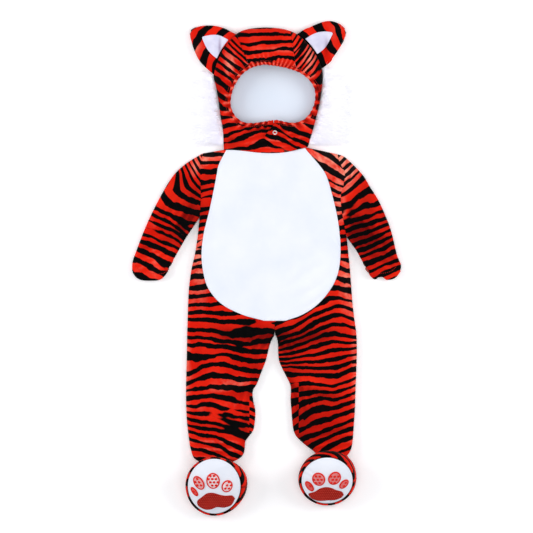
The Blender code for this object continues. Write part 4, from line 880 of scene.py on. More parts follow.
def leg_runs(half):
    """The side and the leg of a front or back, from the shoulder round to the crotch."""
    armhole = np.vstack([half.shoulder, above(half.side[1:], half.underarm)])
    side = below(half.side, half.underarm)
    side, inseam = (
        np.vstack([part[part[:, 1] > half.ankle], (x_at(line, half.ankle), half.ankle)])
        for part, line in ((side, half.side), (half.inseam, half.inseam))
    )
    ankle = np.array([side[-1], inseam[-1]])
    return [Run(armhole, False), Run(side, True), Run(ankle, False), Run(inseam[::-1], True)]


crotch, belly_end, centre_neck = (CENTRE_X, CROTCH_Y), (CENTRE_X, BELLY_END_Y), (CENTRE_X, BACK_NECK_Y)
for half in HALVES:
    shoulder_seam = Run([half.neck, half.shoulder], True)
    inner_end, corner = half.belly[-1], on_neck(half.belly_neck)
    belly = half.belly[half.belly[:, 1] > BELLY_END_Y + 0.01][::-1]
    belly = belly[belly[:, 1] < corner[1] - 1.0]
    neck = neck_between(half.belly_neck, half.neck[0])
    neck = neck if half.name == "right" else neck[::-1]
    runs = leg_runs(half) + [
        Run([crotch, belly_end], False), Run([belly_end, inner_end], False),
        Run(np.vstack([inner_end, belly, corner]), False), Run(neck, False), shoulder_seam,
    ]
    laid(
        f"velour_front_{half.name}", f"front_{half.name}", runs, top,
        leaning(half.slants, half.pivot, half.shift), STRIPED, [f"velour_back_{half.name}"],
    )
    runs = leg_runs(half) + [
        Run([crotch, centre_neck], False), Run([centre_neck, half.neck], False), shoulder_seam,
    ]
    laid(
        f"velour_back_{half.name}", f"back_{half.name}", runs, bottom,
        straight((half.shift[0] + 400, half.shift[1] + 77)), STRIPED, ["floor"], step=2.6,
    )

belly_left, belly_right = (
    np.vstack([on_neck(half.belly_neck), half.belly[half.belly[:, 1] < 210]]) for half in HALVES
)
BELLY_RUNS = [
    Run(neck_between(*BELLY_TOP), False), Run(belly_right, False),
    Run([belly_right[-1], belly_left[-1]], False), Run(belly_left[::-1], False),
]
laid(
    "plush_belly", "belly_panel", BELLY_RUNS, top, straight((0, 0)), WHITE_PLUSH,
    ["velour_back_left", "velour_back_right"],
)


# %% [markdown]
# ## Sleeves
#
# A sleeve's layer starts at the straight armhole and turns down the arm, and its print turns with it.
# So the sleeve is a grid: rows go from armhole to cuff, columns from the outer fold to the inner seam.
# Its cut is measured along that grid, and a table of slants leans the print as the arm does. The end of
# each cuff bows out, where the hem is full.

# %% Sleeves as grids
CUFF_BOW = 18.0
EDGE_STEPS = np.array([0.0, 0.3, 0.9, 1.9, 3.2, 5.0])
LAST = 95  # the place of the last point on a line of 96
OUTWARD = {"front": np.array([0.0, 0.0, 1.0]), "back": np.array([0.0, 0.0, -1.0])}


def at_place(line, place):
    """The point, or points, at a place that is counted along a line's own points."""
    return np.stack([np.interp(place, np.arange(len(line)), line[:, k]) for k in range(2)], axis=-1)


def shares_across(width, step):
    """Shares from 0 to 1, close together at both ends and a step apart between."""
    inner = int((width - 2 * EDGE_STEPS[-1]) / step) + 2
    middle = np.linspace(EDGE_STEPS[-1], width - EDGE_STEPS[-1], inner)[1:-1]
    return np.r_[EDGE_STEPS, middle, width - EDGE_STEPS[::-1]] / width


def grid_faces(rows, columns, wrap=False):
    numbers = np.arange(rows * columns).reshape(rows, columns)
    if wrap:
        numbers = np.column_stack([numbers, numbers[:, 0]])
    a, b = numbers[:-1, :-1].ravel(), numbers[:-1, 1:].ravel()
    c, d = numbers[1:, 1:].ravel(), numbers[1:, :-1].ravel()
    return np.vstack([np.column_stack([a, b, c]), np.column_stack([a, c, d])])


def grain_of(points, shift=(0, 0), wrap=False):
    """Distance along a grid's rows and columns, on average, as its grain. wrap is for closed rings."""
    if wrap:
        points = np.concatenate([points, points[:, :1]], axis=1)
    across = np.linalg.norm(np.diff(points, axis=1), axis=-1).mean(axis=0)
    down = np.linalg.norm(np.diff(points, axis=0), axis=-1).mean(axis=1)
    u, v = np.meshgrid(np.r_[0, np.cumsum(across)], np.r_[0, np.cumsum(down)])
    if wrap:
        u, v = u[:, :-1], v[:, :-1]
    return np.column_stack([u.ravel() + shift[0], v.ravel() + shift[1]])


def facing(points, faces, outward):
    """The same faces, turned so that they look along outward on the whole."""
    normals = vertex_normals(points, faces)
    return faces if (normals * outward).sum() > 0 else faces[:, ::-1]


def grid_cloth(name, node, points, outward, grain, stuff, rests_on, wrap=False, lift=0.0, **more):
    """A wall of cloth over a grid of points, moved out by lift. more goes on to cloth."""
    outer = points.reshape(-1, 3)
    faces = facing(outer, grid_faces(*points.shape[:2], wrap), outward)
    if lift:
        outer = outer + vertex_normals(outer, faces) * lift
    cloth(name, node, outer, faces, grain, stuff, rests_on, **more)


ARM_LEFT_SLANTS = slants(
    (-20, 0.3), (40, 0.45), (110, 0.4), (140, 0.7), (170, 1.5), (200, 1.9),
)
ARM_RIGHT_SLANTS = slants(
    (-20, -0.5), (50, -0.45), (110, -0.35), (150, -0.6), (175, -0.9), (205, -1.1),
)
ARMS = table(
    "name side shoulder underarm outer inner slants pivot shift notch",
    ("left", SIDE_LEFT, SHOULDER_LEFT, UNDERARM_LEFT_Y, OUTER_LEFT, INNER_LEFT, ARM_LEFT_SLANTS,
     -120, (59, 1103), 0.0),
    ("right", SIDE_RIGHT, SHOULDER_RIGHT, UNDERARM_RIGHT_Y, OUTER_RIGHT, INNER_RIGHT, ARM_RIGHT_SLANTS,
     140, (469, 1274), 5.5),
)


def sleeve_plan(arm, rows):
    shares = shares_across(arm.shoulder[1] - arm.underarm, 2.6)
    armhole_y = arm.shoulder[1] - shares * (arm.shoulder[1] - arm.underarm)
    armhole = np.column_stack([x_at(arm.side, armhole_y), armhole_y])
    armhole[0] = arm.shoulder
    straight_line = armhole[0] + (armhole[-1] - armhole[0]) * shares[:, None]
    bow = CUFF_BOW * (1.0 - np.abs(2 * shares - 1) ** 4)
    notch = arm.notch * np.exp(-(((shares - 0.6) / 0.13) ** 4))
    plan = []
    for k in np.linspace(0.0, 1.0, rows):
        start, end = at_place(arm.outer, k * LAST), at_place(arm.inner, k * LAST)
        row = start + (end - start) * shares[:, None]
        row[:, 1] -= smooth((k - 0.55) / 0.45) * bow
        row[:, 1] += smooth((k - 0.9) / 0.1) * notch
        row += (armhole - straight_line) * (1.0 - smooth(k / 0.45))
        plan.append(row)
    return np.array(plan)


for arm in ARMS:
    for layer, surface, rows, rests_on in (
        ("front", top, 90, f"velour_sleeve_back_{arm.name}"), ("back", bottom, 70, "floor"),
    ):
        plan = sleeve_plan(arm, rows)
        points = np.dstack([plan, surface(plan)])
        grid_cloth(
            f"velour_sleeve_{layer}_{arm.name}", f"sleeve_{layer}_{arm.name}", points, OUTWARD[layer],
            leaning(arm.slants, arm.pivot, arm.shift)(points.reshape(-1, 3)), STRIPED, [rests_on],
            cut=grain_of(points),
        )


# %% [markdown]
# ## The hood
#
# The hood's front is a crown strip between two side pieces. The right side ends in a pointed flap that
# laps over the left one under the chin, held by a snap. Elastic in the casing round the face draws the
# cloth into small gathers, which is why the height has waves that fade away from the opening. Through
# the opening shows the smooth lining on the hood's back.

# %% Hood panels
CASING_RADIUS, HOOD_STEP = 2.9, 1.7
# Angles round the face centre, in degrees: at the hood's edge, then at the face rim.
CROWN_EDGE, CROWN_RIM = (74.6, 121.5), (48.0, 130.8)
LEFT_END, FLAP_END = (281.0, 288.0), (-102.4, -86.6)
FLAP_START, FLAP_SHORTENED, FLAP_CLEARANCE = -73.6, 0.255, 1.2
LINING_INSET, LINING_LIFT = 8.5, 0.7


def ray(angles, radius):
    turn = np.radians(np.atleast_1d(angles))
    out = np.column_stack([np.cos(turn), np.sin(turn)])
    return np.array(FACE_CENTRE) + out * np.reshape(radius, (-1, 1))


def angles_between(start, stop):
    return np.linspace(start, stop, max(2, int(abs(stop - start) * 1.5)))


def hood_edge(start, stop, shortened=0.0):
    """The hood's edge between two angles, drawn in by a share that grows towards its end."""
    angles = angles_between(start, stop)
    return ray(angles, HOOD_RADIUS(angles) * (1.0 - shortened * (start - angles) / (start - stop)))


def face_rim(start, stop):
    angles = angles_between(start, stop)
    return ray(angles, FACE_RADIUS(angles) + 2 * CASING_RADIUS + 2 * GAP)


def corner_angle(point):
    return math.degrees(math.atan2(point[1] - FACE_CENTRE[1], point[0] - FACE_CENTRE[0]))


def flap_lift(angles):
    return (WALL + FLAP_CLEARANCE) * smooth((-54.0 - angles) / 14.0)


def right_angles(plan):
    angle = polar(plan)[0]
    return np.where(angle > 180.0, angle - 360.0, angle)


def loop_of(*parts):
    """Runs from lines that follow each other: each (line, closed) also joins to the next one's start."""
    runs = []
    for (line, closed), (following, _) in zip(parts, parts[1:] + parts[:1]):
        runs.append(Run(line, closed))
        if np.linalg.norm(following[0] - line[-1]) > 0.5:
            runs.append(Run([line[-1], following[0]], False))
    return runs


CHEEK_LEFT_SLANTS = slants(
    (218, 0.0), (240, -0.1, -0.2), (262, 0.1, 0.0), (285, 0.6), (345, 0.85), (400, 1.1),
)
CHEEK_RIGHT_SLANTS = slants(
    (218, 0.5, 0.3), (262, 0.45, 0.2), (300, 0.0), (335, -0.4), (360, -1.0), (400, -1.9),
)
CROWN_SLANTS = slants((350, 0.05, 0.15), (432, -0.1, 0.2))
neck_left, neck_right = corner_angle(NECK_LEFT) + 360.0, corner_angle(NECK_RIGHT)
crown = loop_of((hood_edge(*CROWN_EDGE), True), (face_rim(*CROWN_RIM[::-1]), False))
cheek_left = loop_of(
    (hood_edge(CROWN_EDGE[1], neck_left), True), (hood_edge(neck_left, LEFT_END[0]), False),
    (face_rim(LEFT_END[1], CROWN_RIM[1]), False),
)
cheek_right = loop_of(
    (hood_edge(CROWN_EDGE[0], neck_right), True), (hood_edge(neck_right, FLAP_START), False),
    (hood_edge(FLAP_START, FLAP_END[0], FLAP_SHORTENED), False),
    (face_rim(FLAP_END[1], CROWN_RIM[0]), False),
)
laid(
    "velour_crown", "hood_crown", crown, top, leaning(CROWN_SLANTS, 12, (1349, 696)), STRIPED,
    ["velour_hood_back"], HOOD_STEP,
)
laid(
    "velour_cheek_left", "hood_side_left", cheek_left, top, leaning(CHEEK_LEFT_SLANTS, -75, (1559, 553)),
    STRIPED, ["velour_hood_back"], HOOD_STEP,
)
laid(
    "velour_cheek_right", "hood_side_right", cheek_right, top,
    leaning(CHEEK_RIGHT_SLANTS, 75, (1789, 768)), STRIPED, ["velour_cheek_left", "velour_hood_back"],
    HOOD_STEP, lift=lambda plan: flap_lift(right_angles(plan)),
)

# %% Hood back and lining
hood_back = [
    Run(HOOD_LINE, True), Run([NECK_RIGHT, centre_neck], False), Run([centre_neck, NECK_LEFT], False),
]
laid(
    "velour_hood_back", "hood_back", hood_back, bottom, straight((2300, 40)), STRIPED, ["floor"], step=2.6,
)
lining_y = np.linspace(228, 408, 60)
lining_left, lining_right = (
    np.column_stack([x_at(edge, lining_y) + inset, lining_y])
    for edge, inset in ((HOOD_LINE[:80], LINING_INSET), (HOOD_LINE[80:], -LINING_INSET))
)


def lining_rise(plan):
    """The lining lies a little loose on the back, in shallow waves."""
    return WALL + LINING_LIFT + LINING_WALL + 0.5 + 0.5 * unevenness(plan, 42.0, 21)


laid(
    "lining_hood", "hood_lining", loop_of((lining_left, False), (lining_right[::-1], False)), bottom,
    straight((0, 0)), LINING, ["velour_hood_back"], step=2.6, lift=lining_rise, thick=LINING_WALL,
)

# %% [markdown]
# ## The casing round the face
#
# A narrow tube of the same velour holds the elastic. It is short on the elastic and long in cloth, so it
# puckers all the way round. A ring of points goes round the face along a path, its radius rises and
# falls in waves, and the rings are joined and capped. So it is one closed body, as a padded piece has to
# be, and the number and the depth of its puckers stay two plain numbers.

# %% Casing
CASING_START, CASING_STOP, CASING_SIDES = -88.6, 270.6, 14
PUCKERS, PUCKER_DEPTH = 46, 0.13


def closed_loft(name, rings, look, grain=None):
    """Rings of points, joined to a tube with a cap on each end."""
    count, sides = rings.shape[:2]
    points = rings.reshape(-1, 3)
    middle = np.repeat(rings.mean(axis=1), sides, axis=0)
    faces = facing(points, grid_faces(count, sides, wrap=True), points - middle)
    first, last = tuple(range(sides)), tuple(range(len(points) - sides, len(points)))
    caps = [first[::-1], last] if faces[0, 1] == 1 else [first, last[::-1]]
    grain = points[:, :2] if grain is None else grain
    return new_piece(name, points, faces.tolist() + caps, grain, [look])


casing_angles = np.linspace(CASING_START, CASING_STOP, PUCKERS * 10 + 1)
casing_out = ray(casing_angles, 1.0) - FACE_CENTRE
casing_path = ray(casing_angles, FACE_RADIUS(casing_angles) + CASING_RADIUS + 1.2)
casing_z = top(casing_path + casing_out * (CASING_RADIUS + GAP)) + flap_lift(casing_angles) - 0.5 * WALL
phase = 2 * np.pi * PUCKERS * np.linspace(0, 1, len(casing_angles))
phase = phase + 1.8 * unevenness(casing_path, 16.0, 31)
casing_radius = CASING_RADIUS * (1.0 + PUCKER_DEPTH * np.cos(phase))
casing_radius[[0, -1]] *= 0.3
casing_radius[[1, -2]] *= 0.8
around = np.radians(np.arange(CASING_SIDES) * 360.0 / CASING_SIDES)
rings = np.array([
    np.column_stack([np.outer(np.cos(around), out) * radius + path, z + np.sin(around) * radius])
    for path, z, out, radius in zip(casing_path, casing_z, casing_out, casing_radius)
])
casing = closed_loft("velour_casing", rings, PLAIN_VELOUR, grain_of(rings, (2600, 0), wrap=True))
stands_for(casing, "face_casing")

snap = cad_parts["chin_snap"]
snap.data.materials.clear()
snap.data.materials.append(SNAP_METAL)

# %% [markdown]
# ## Ears
#
# An ear is two layers of velour sewn along both sides and turned out, with a satin lining sewn on the
# front. It is caught in the hood's seam with a pleat, which leaves the crease in the satin. The grid runs
# from the seam to the tip, so the wide bands of the print run across the ear.

# %% Ear surfaces
EARS = table(
    "name upper lower",
    ("left", (
        (-55.4, 420.6), (-80.1, 432.6), (-103.5, 436.1), (-123.3, 433.8), (-135.6, 427.6),
    ), (
        (-95.6, 347.6), (-108.9, 359.5), (-121.2, 373.5), (-132.3, 397.8), (-137.2, 421.5),
    )),
    ("right", (
        (57.4, 419.5), (81.9, 434.7), (107.8, 443.9), (126.9, 441.0), (140.2, 430.6),
    ), (
        (99.6, 361.4), (116.1, 374.4), (130.5, 394.2), (139.5, 410.4), (142.4, 424.0),
    )),
)
EAR_WALL, EAR_ROOT_Z, EAR_TIP_Z, EAR_ROLL, EAR_PLEAT = 2.0, 13.0, 8.0, 5.0, 2.2
EAR_PRINT = 0.62  # the print is that much larger on the ears' grain


def ear_plan(ear, shares_along, shares_over):
    """A grid over the ear in plan, from the hood's seam to the tip, and the ear's own edges."""
    upper, lower = spline(ear.upper), spline(ear.lower)
    first, last = (np.linalg.norm(HOOD_LINE - line[0], axis=1).argmin() for line in (upper, lower))
    seam = spline(HOOD_LINE[min(first, last): max(first, last) + 1])
    if first > last:
        seam = seam[::-1]
    out = np.column_stack([-np.gradient(seam[:, 1]), np.gradient(seam[:, 0])])
    out *= np.sign((out * (seam - FACE_CENTRE)).sum(-1))[:, None] / np.linalg.norm(out, axis=1)[:, None]
    seam = seam + out * GAP
    across = np.asarray(shares_over)[:, None]
    seam_line = seam[0] + (seam[-1] - seam[0]) * across
    root_line = upper[0] + (lower[0] - upper[0]) * across
    shift = (at_place(seam, across[:, 0] * LAST) - seam_line) + (seam_line - root_line)
    grid = []
    for along in shares_along:
        start, end = at_place(upper, along * LAST), at_place(lower, along * LAST)
        grid.append(start + (end - start) * across + shift * (1.0 - smooth(along / 0.5)))
    return np.array(grid), [upper, lower, np.array([upper[-1], lower[-1]])]


def ear_layer(ear, along, across, front):
    plan, outline = ear_plan(ear, along, across)
    middle = (EAR_ROOT_Z + (EAR_TIP_Z - EAR_ROOT_Z) * np.array(along))[:, None]
    rise = EAR_ROLL * roll(np.maximum(distance(plan, outline), EDGE_CLEARANCE), EAR_ROLL)
    if not front:
        return np.dstack([plan, middle - rise])
    pleat = np.exp(-(((np.array(across) - 0.42) / 0.06) ** 2)) * EAR_PLEAT
    pleat = pleat * (1.0 - smooth(np.array(along) / 0.75))[:, None]
    uneven = 0.5 * unevenness(plan, 15.0, 41)
    return np.dstack([plan, middle + rise - (pleat + uneven) * (rise / EAR_ROLL)])


along = np.r_[np.linspace(0, 0.93, 46), 0.96, 0.98, 0.993, 1.0]
across = shares_across(66.0, 1.7)
for ear in EARS:
    for layer in ("front", "back"):
        points = ear_layer(ear, along, across, layer == "front")
        cut = grain_of(points)
        grid_cloth(
            f"velour_ear_{layer}_{ear.name}", f"ear_{layer}_{ear.name}", points, OUTWARD[layer],
            cut * EAR_PRINT + [700 + 90 * len(ear.name), 60], STRIPED, ["floor"], thick=EAR_WALL, cut=cut,
        )
    rows = []
    for share in np.linspace(0.03, 0.6, 40):
        narrow = (share / 0.61) ** 3.4
        span = np.linspace(0.2 + 0.24 * narrow, 0.66 - 0.2 * narrow, 26)
        rows.append(ear_layer(ear, [share], span, True)[0])
    points = np.array(rows)
    grid_cloth(
        f"satin_ear_{ear.name}", f"ear_inner_{ear.name}", points, OUTWARD["front"], grain_of(points),
        SATIN, [f"velour_ear_front_{ear.name}"], lift=GAP + PAD_WALL, thick=PAD_WALL,
    )

# %% [markdown]
# ## The white mane
#
# The fur is a strip of long-haired plush caught in the hood's side seam. Its hair is far too fine to
# model one by one, but a few thousand tapered strands over a soft core read as fur from any side.
# Geometry Nodes scatter the strands with a fixed seed, aim each along the direction that the core
# stores as an attribute, bend it towards the floor, and lay what would sink below the floor on it.

# %% Fur core
MANES = {  # of each tuft: y at the root, and x and y at the tip
    "left": (
        (344, -119, 365), (337, -129, 357), (329, -125, 343), (320, -131, 333), (310, -124, 318),
        (300, -130, 306), (290, -124, 293), (280, -132, 282), (270, -126, 270), (260, -131, 258),
        (250, -125, 246), (240, -128, 233), (230, -119, 223), (223, -106, 217),
    ),
    "right": (
        (357, 115, 368), (350, 127, 362), (341, 124, 350), (332, 135, 344), (322, 131, 330),
        (312, 142, 320), (302, 136, 306), (292, 144, 294), (282, 136, 280), (272, 140, 267),
        (261, 133, 254), (250, 140, 242), (240, 134, 231), (231, 143, 223), (224, 116, 217),
    ),
}
TUFT_SECTION = (  # share of the reach, height
    (0.0, 4.0), (0.0, 17.0), (0.28, 23.0), (0.62, 17.0), (0.9, 9.0), (1.0, 4.0), (0.88, 0.0), (0.12, 0.0),
)
CORE_REACH, CORE_ROWS = 0.74, 90


def mane_core(name, tufts):
    """Rings of the fur's core, and at each point the direction and length of its hair."""
    half = HOOD_LINE[:80] if name == "left" else HOOD_LINE[80:]
    roots = np.array([(x_at(half, root_y), root_y) for root_y, _, _ in tufts])
    roots[:, 0] += 2 * GAP * np.sign(roots[:, 0])
    tips = np.array(tufts, float)[:, 1:]
    last = len(tufts) - 1
    section = spline(TUFT_SECTION + TUFT_SECTION[:1], 29)[:-1]
    section[:, 1] = np.maximum(section[:, 1], 0.0)
    rings, combs, reaches = [], [], []
    for place in np.linspace(0, last, CORE_ROWS):
        root, tip = at_place(roots, place), at_place(tips, place)
        ends = smooth(min(place, last - place) / 0.8)
        reach = (tip - root) * CORE_REACH * (0.6 + 0.4 * ends)
        height = section[:, 1] * (0.9 - 0.15 * (1 - ends))
        rings.append(np.column_stack([root + reach * section[:, :1], height]))
        outward = np.append((tip - root) / np.linalg.norm(tip - root), 0.0)
        combs.append(outward + 0.55 * (1.0 - section[:, 0])[:, None] * OUTWARD["front"])
        left_over = np.linalg.norm(tip - root) * (1.0 - CORE_REACH * section[:, 0]) + 5.0
        near_end = smooth((place - 0.5) / 3.5) * smooth((last - place) / 2.0)
        reaches.append(np.minimum(left_over, 28.0) * (0.22 + 0.78 * near_end))
    return np.array(rings), np.array(combs), np.array(reaches)


# %% A Geometry Nodes tree is built and run once
def geometry_tree(name, **inputs):
    """A tree with named inputs of its own; gives the tree, its inputs by name and its output node."""
    tree = bpy.data.node_groups.new(name, "GeometryNodeTree")
    for label, kind in {"Geometry": "Geometry", **inputs}.items():
        tree.interface.new_socket(label, in_out="INPUT", socket_type=f"NodeSocket{kind}")
    tree.interface.new_socket("Geometry", in_out="OUTPUT", socket_type="NodeSocketGeometry")
    return tree, tree.nodes.new("NodeGroupInput").outputs, tree.nodes.new("NodeGroupOutput")


def close_tree(tree, out, geometry, look):
    """Every tree ends in Realize Instances and Set Material."""
    real = add(tree, "GeometryNodeRealizeInstances", {0: geometry}).outputs[0]
    put(out, 0, add(tree, "GeometryNodeSetMaterial", {"Geometry": real, "Material": look}).outputs[0])


def stored(tree, name, kind="FLOAT"):
    return add(tree, "GeometryNodeInputNamedAttribute", {"Name": name}, data_type=kind).outputs[0]


def vector(tree, x=0.0, y=0.0, z=0.0):
    return add(tree, "ShaderNodeCombineXYZ", {0: x, 1: y, 2: z}).outputs[0]


def vector_sum(tree, first, second):
    return add(tree, "ShaderNodeVectorMath", {0: first, 1: second}, operation="ADD").outputs[0]


def scaled(tree, value, factor):
    return add(tree, "ShaderNodeVectorMath", {0: value, 3: factor}, operation="SCALE").outputs[0]


def on_points(tree, points, piece, rotation, scale):
    sockets = {"Points": points, "Instance": piece, "Rotation": rotation, "Scale": scale}
    return add(tree, "GeometryNodeInstanceOnPoints", sockets).outputs[0]


def grown(name, source, tree, values):
    """Runs a tree on a mesh and keeps the result as a plain mesh that rides with the garment."""
    made = bpy.data.objects.new(name, source)
    show(made)
    modifier = made.modifiers.new(name, "NODES")
    modifier.node_group = tree
    for item in tree.interface.items_tree:
        if item.item_type == "SOCKET" and item.in_out == "INPUT" and item.name in values:
            modifier[item.identifier] = values[item.name]
    bpy.context.view_layer.update()
    evaluated = made.evaluated_get(bpy.context.evaluated_depsgraph_get())
    mesh = bpy.data.meshes.new_from_object(evaluated)
    made.modifiers.clear()
    made.data = mesh
    mesh.name = name
    mesh.shade_smooth()
    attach(made, "root")
    pieces[name] = made
    print(f"{name}: {len(mesh.vertices)} points, {len(mesh.polygons)} faces")


# %% Hair strands
CLUMP_SCALE, CLUMP_PULL, SAG = 120.0, 2.4, 0.42


def fur_tree():
    tree, given, out = geometry_tree(
        "fur_strands", Density="Float", Thickness="Float", Wildness="Float", Settle="Float", Seed="Int"
    )
    seed = given["Seed"]
    scatter = add(tree, "GeometryNodeDistributePointsOnFaces", {
        "Mesh": given["Geometry"], "Density": times(tree, given["Density"], stored(tree, "grows")),
        "Seed": seed,
    }, distribute_method="RANDOM")
    # Each strand follows the comb, shaken a little, and drawn into clumps with its neighbours.
    shake = add(tree, "FunctionNodeRandomValue", {
        0: (-1, -1, -0.7), 1: (1, 1, 1), "Seed": seed,
    }, data_type="FLOAT_VECTOR").outputs[0]
    place = add(tree, "GeometryNodeInputPosition").outputs[0]
    clumps = {"Vector": place, "Scale": CLUMP_SCALE, "Detail": 1.0}
    clumps = add(tree, "ShaderNodeTexNoise", clumps).outputs[1]
    clumps = scaled(tree, vector_sum(tree, clumps, (-0.5, -0.5, -0.5)), CLUMP_PULL)
    aim = vector_sum(tree, stored(tree, "comb", "FLOAT_VECTOR"), scaled(tree, shake, given["Wildness"]))
    aim = vector_sum(tree, aim, clumps)
    upright = add(tree, "FunctionNodeAlignRotationToVector", {"Vector": aim}, axis="Z")
    hanging = add(tree, "FunctionNodeAlignRotationToVector", {
        "Rotation": upright.outputs[0], "Vector": (0, 0, -1),
    }, axis="X", pivot_axis="Z").outputs[0]
    # The strand itself is a slim cone that sags more and more towards its tip.
    strand = add(tree, "GeometryNodeMeshCone", {
        "Vertices": 3, "Side Segments": 4, "Radius Top": 0.0, "Radius Bottom": given["Thickness"],
        "Depth": 1.0,
    }, fill_type="NGON").outputs[0]
    height = add(tree, "ShaderNodeSeparateXYZ", {0: place}).outputs[2]
    bend = vector(tree, times(tree, times(tree, height, height), SAG))
    strand = add(tree, "GeometryNodeSetPosition", {"Geometry": strand, "Offset": bend}).outputs[0]
    # Most strands are short and a few are long.
    lot = {2: 0.0, 3: 1.0, "Seed": seed}
    lot = add(tree, "FunctionNodeRandomValue", lot, data_type="FLOAT").outputs[1]
    longer = total(tree, calc(tree, "POWER", lot, 5.0), 0.45)
    size = times(tree, stored(tree, "reach"), total(tree, times(tree, lot, 0.5), longer))
    placed = on_points(tree, scatter.outputs[0], strand, hanging, size)
    placed = add(tree, "GeometryNodeRealizeInstances", {0: placed}).outputs[0]
    # Below Settle, the height falls off to the floor and never passes it.
    x, y, z = add(tree, "ShaderNodeSeparateXYZ", {0: place}).outputs
    settle = given["Settle"]
    low = calc(tree, "SUBTRACT", calc(tree, "MINIMUM", z, settle), settle)
    low = times(tree, calc(tree, "EXPONENT", calc(tree, "DIVIDE", low, settle)), settle)
    high = calc(tree, "MAXIMUM", calc(tree, "SUBTRACT", z, settle), 0.0)
    resting = vector(tree, x, y, total(tree, low, high))
    placed = add(tree, "GeometryNodeSetPosition", {"Geometry": placed, "Position": resting}).outputs[0]
    close_tree(tree, out, placed, FUR)
    return tree


FUR_TREE = fur_tree()
FUR_SIZES = {"Density": 900000.0, "Thickness": 0.021, "Wildness": 0.34, "Settle": 0.006, "Seed": 11}
for name, tufts in MANES.items():
    rings, combs, reaches = mane_core(name, tufts)
    core = closed_loft(f"fur_core_{name}", rings, FUR)
    stands_for(core, f"mane_{name}")
    roots = core.data.copy()
    store(roots, "comb", combs, "FLOAT_VECTOR")
    store(roots, "reach", reaches * MM)
    store(roots, "grows", rings[..., 2] > 2.5)
    grown(f"fur_hair_{name}", roots, FUR_TREE, FUR_SIZES)

# %% [markdown]
# ## Booties
#
# Each foot is a soft shoe that stands on its heel, so the sole looks up at the camera. The upper runs in
# one bend from the ankle seam to the edge of the sole, and swells out past it. The white sole is gently
# domed. The paw print on it is one large pad and four toes, as soft patches moved out from the sole.

# %% Uppers and soles
BOOTIES = table(
    "name x y half_width half_length heel_z toe_z left right toe heel ankle_x ankle_half ankle_y",
    ("left", -93.8, -391.4, 48.0, 50.8, 17.0, 60.0, 1.0, 8.0, 0.5, 1.6, -90.5, 28.5, ANKLE_LEFT_Y),
    ("right", 108.6, -381.2, 46.6, 42.6, 19.0, 60.0, 3.0, 3.0, 9.0, 1.0, 118.25, 27.25, ANKLE_RIGHT_Y),
)
SOLE_DOME, PAD_LIFT = 11.0, 0.5
CREASE_COLUMNS = "x y turn length width depth"
SOLE_CREASES = {
    "left": table(CREASE_COLUMNS, (-66, -352, 20, 24, 5, -0.5), (-128, -372, 70, 20, 6, 0.6)),
    "right": table(
        CREASE_COLUMNS, (76, -362, -35, 20, 2.6, 1.0), (72, -370, -32, 20, 2.6, 0.9),
        (130, -352, 30, 20, 7, -0.4),
    ),
}


def sole_tilt(bootie):
    """Height of the sole's middle, and half of its rise from heel to toe."""
    return (bootie.heel_z + bootie.toe_z) / 2, (bootie.toe_z - bootie.heel_z) / 2


def sole_height(bootie):
    middle, half = sole_tilt(bootie)

    def height(plan):
        across = (plan[..., 0] - bootie.x) / bootie.half_width
        along = (plan[..., 1] - bootie.y) / bootie.half_length
        dome = SOLE_DOME * (1.0 - np.minimum(across**2 + along**2, 1.0))
        creased = 0.3 * unevenness(plan, 18.0, 51)
        for crease in SOLE_CREASES[bootie.name]:
            creased = creased + fold_depth(plan, crease)
        return middle + half * along + dome - creased

    return height


def bootie_rings(bootie, turns, shares):
    c, s = np.cos(turns), np.sin(turns)
    middle, half = sole_tilt(bootie)
    rim = np.column_stack([
        bootie.x + (bootie.half_width + WALL) * c, bootie.y + (bootie.half_length + WALL) * s,
        middle + half * s,
    ])
    swell_x = (np.where(c > 0, bootie.right, bootie.left) * 2.6 + 4.0) * c
    swell_y = np.where(s > 0, bootie.toe * 2.0, bootie.heel * 2.6 + 4.0) * s
    bend = rim + np.column_stack([swell_x, swell_y, np.zeros_like(c)])
    bend[:, 2] = 4.0 + 24.0 * s + 14.0 * s * s
    x = bootie.ankle_x + bootie.ankle_half * c * 0.9999
    plan = np.column_stack([x, np.full_like(x, bootie.ankle_y)])
    ankle = np.column_stack([plan, np.where(s >= 0, top(plan), bottom(plan))])
    rings = []
    for t in shares:
        ring = (1 - t) ** 2 * ankle + 2 * t * (1 - t) * bend + t * t * rim
        ring[:, 2] = np.maximum(ring[:, 2], 0.0)
        rings.append(ring)
    return np.array(rings)


def ellipse(x, y, half_width, half_length, turn=0.0, count=90):
    angle, spin = np.linspace(0, 2 * np.pi, count), math.radians(turn)
    ring = np.column_stack([np.cos(angle) * half_width, np.sin(angle) * half_length])
    spun = ring @ np.array([[math.cos(spin), math.sin(spin)], [-math.sin(spin), math.cos(spin)]])
    return np.array([x, y]) + spun


def sole_edge(bootie, inset):
    return ellipse(bootie.x, bootie.y, bootie.half_width - inset, bootie.half_length - inset)


PRINT_TURN = np.array([[0.82, 0.57], [-0.57, 0.82]])
for bootie in BOOTIES:
    points = bootie_rings(bootie, np.radians(np.arange(0, 360, 4)), np.linspace(0.0, 1.0, 34))
    centre = np.array([bootie.x, bootie.y, sole_tilt(bootie)[0]])
    cut = grain_of(points, wrap=True)
    grid_cloth(
        f"velour_bootie_{bootie.name}", f"bootie_upper_{bootie.name}", points,
        points.reshape(-1, 3) - centre, cut @ PRINT_TURN + np.array([3000, 10]), STRIPED, ["floor"],
        wrap=True, held="stretched", cut=cut,
    )
    laid(
        f"plush_sole_{bootie.name}", f"bootie_sole_{bootie.name}", [Run(sole_edge(bootie, GAP), False)],
        sole_height(bootie), straight((0, 0)), WHITE_PLUSH, [f"velour_bootie_{bootie.name}"], step=1.8,
    )

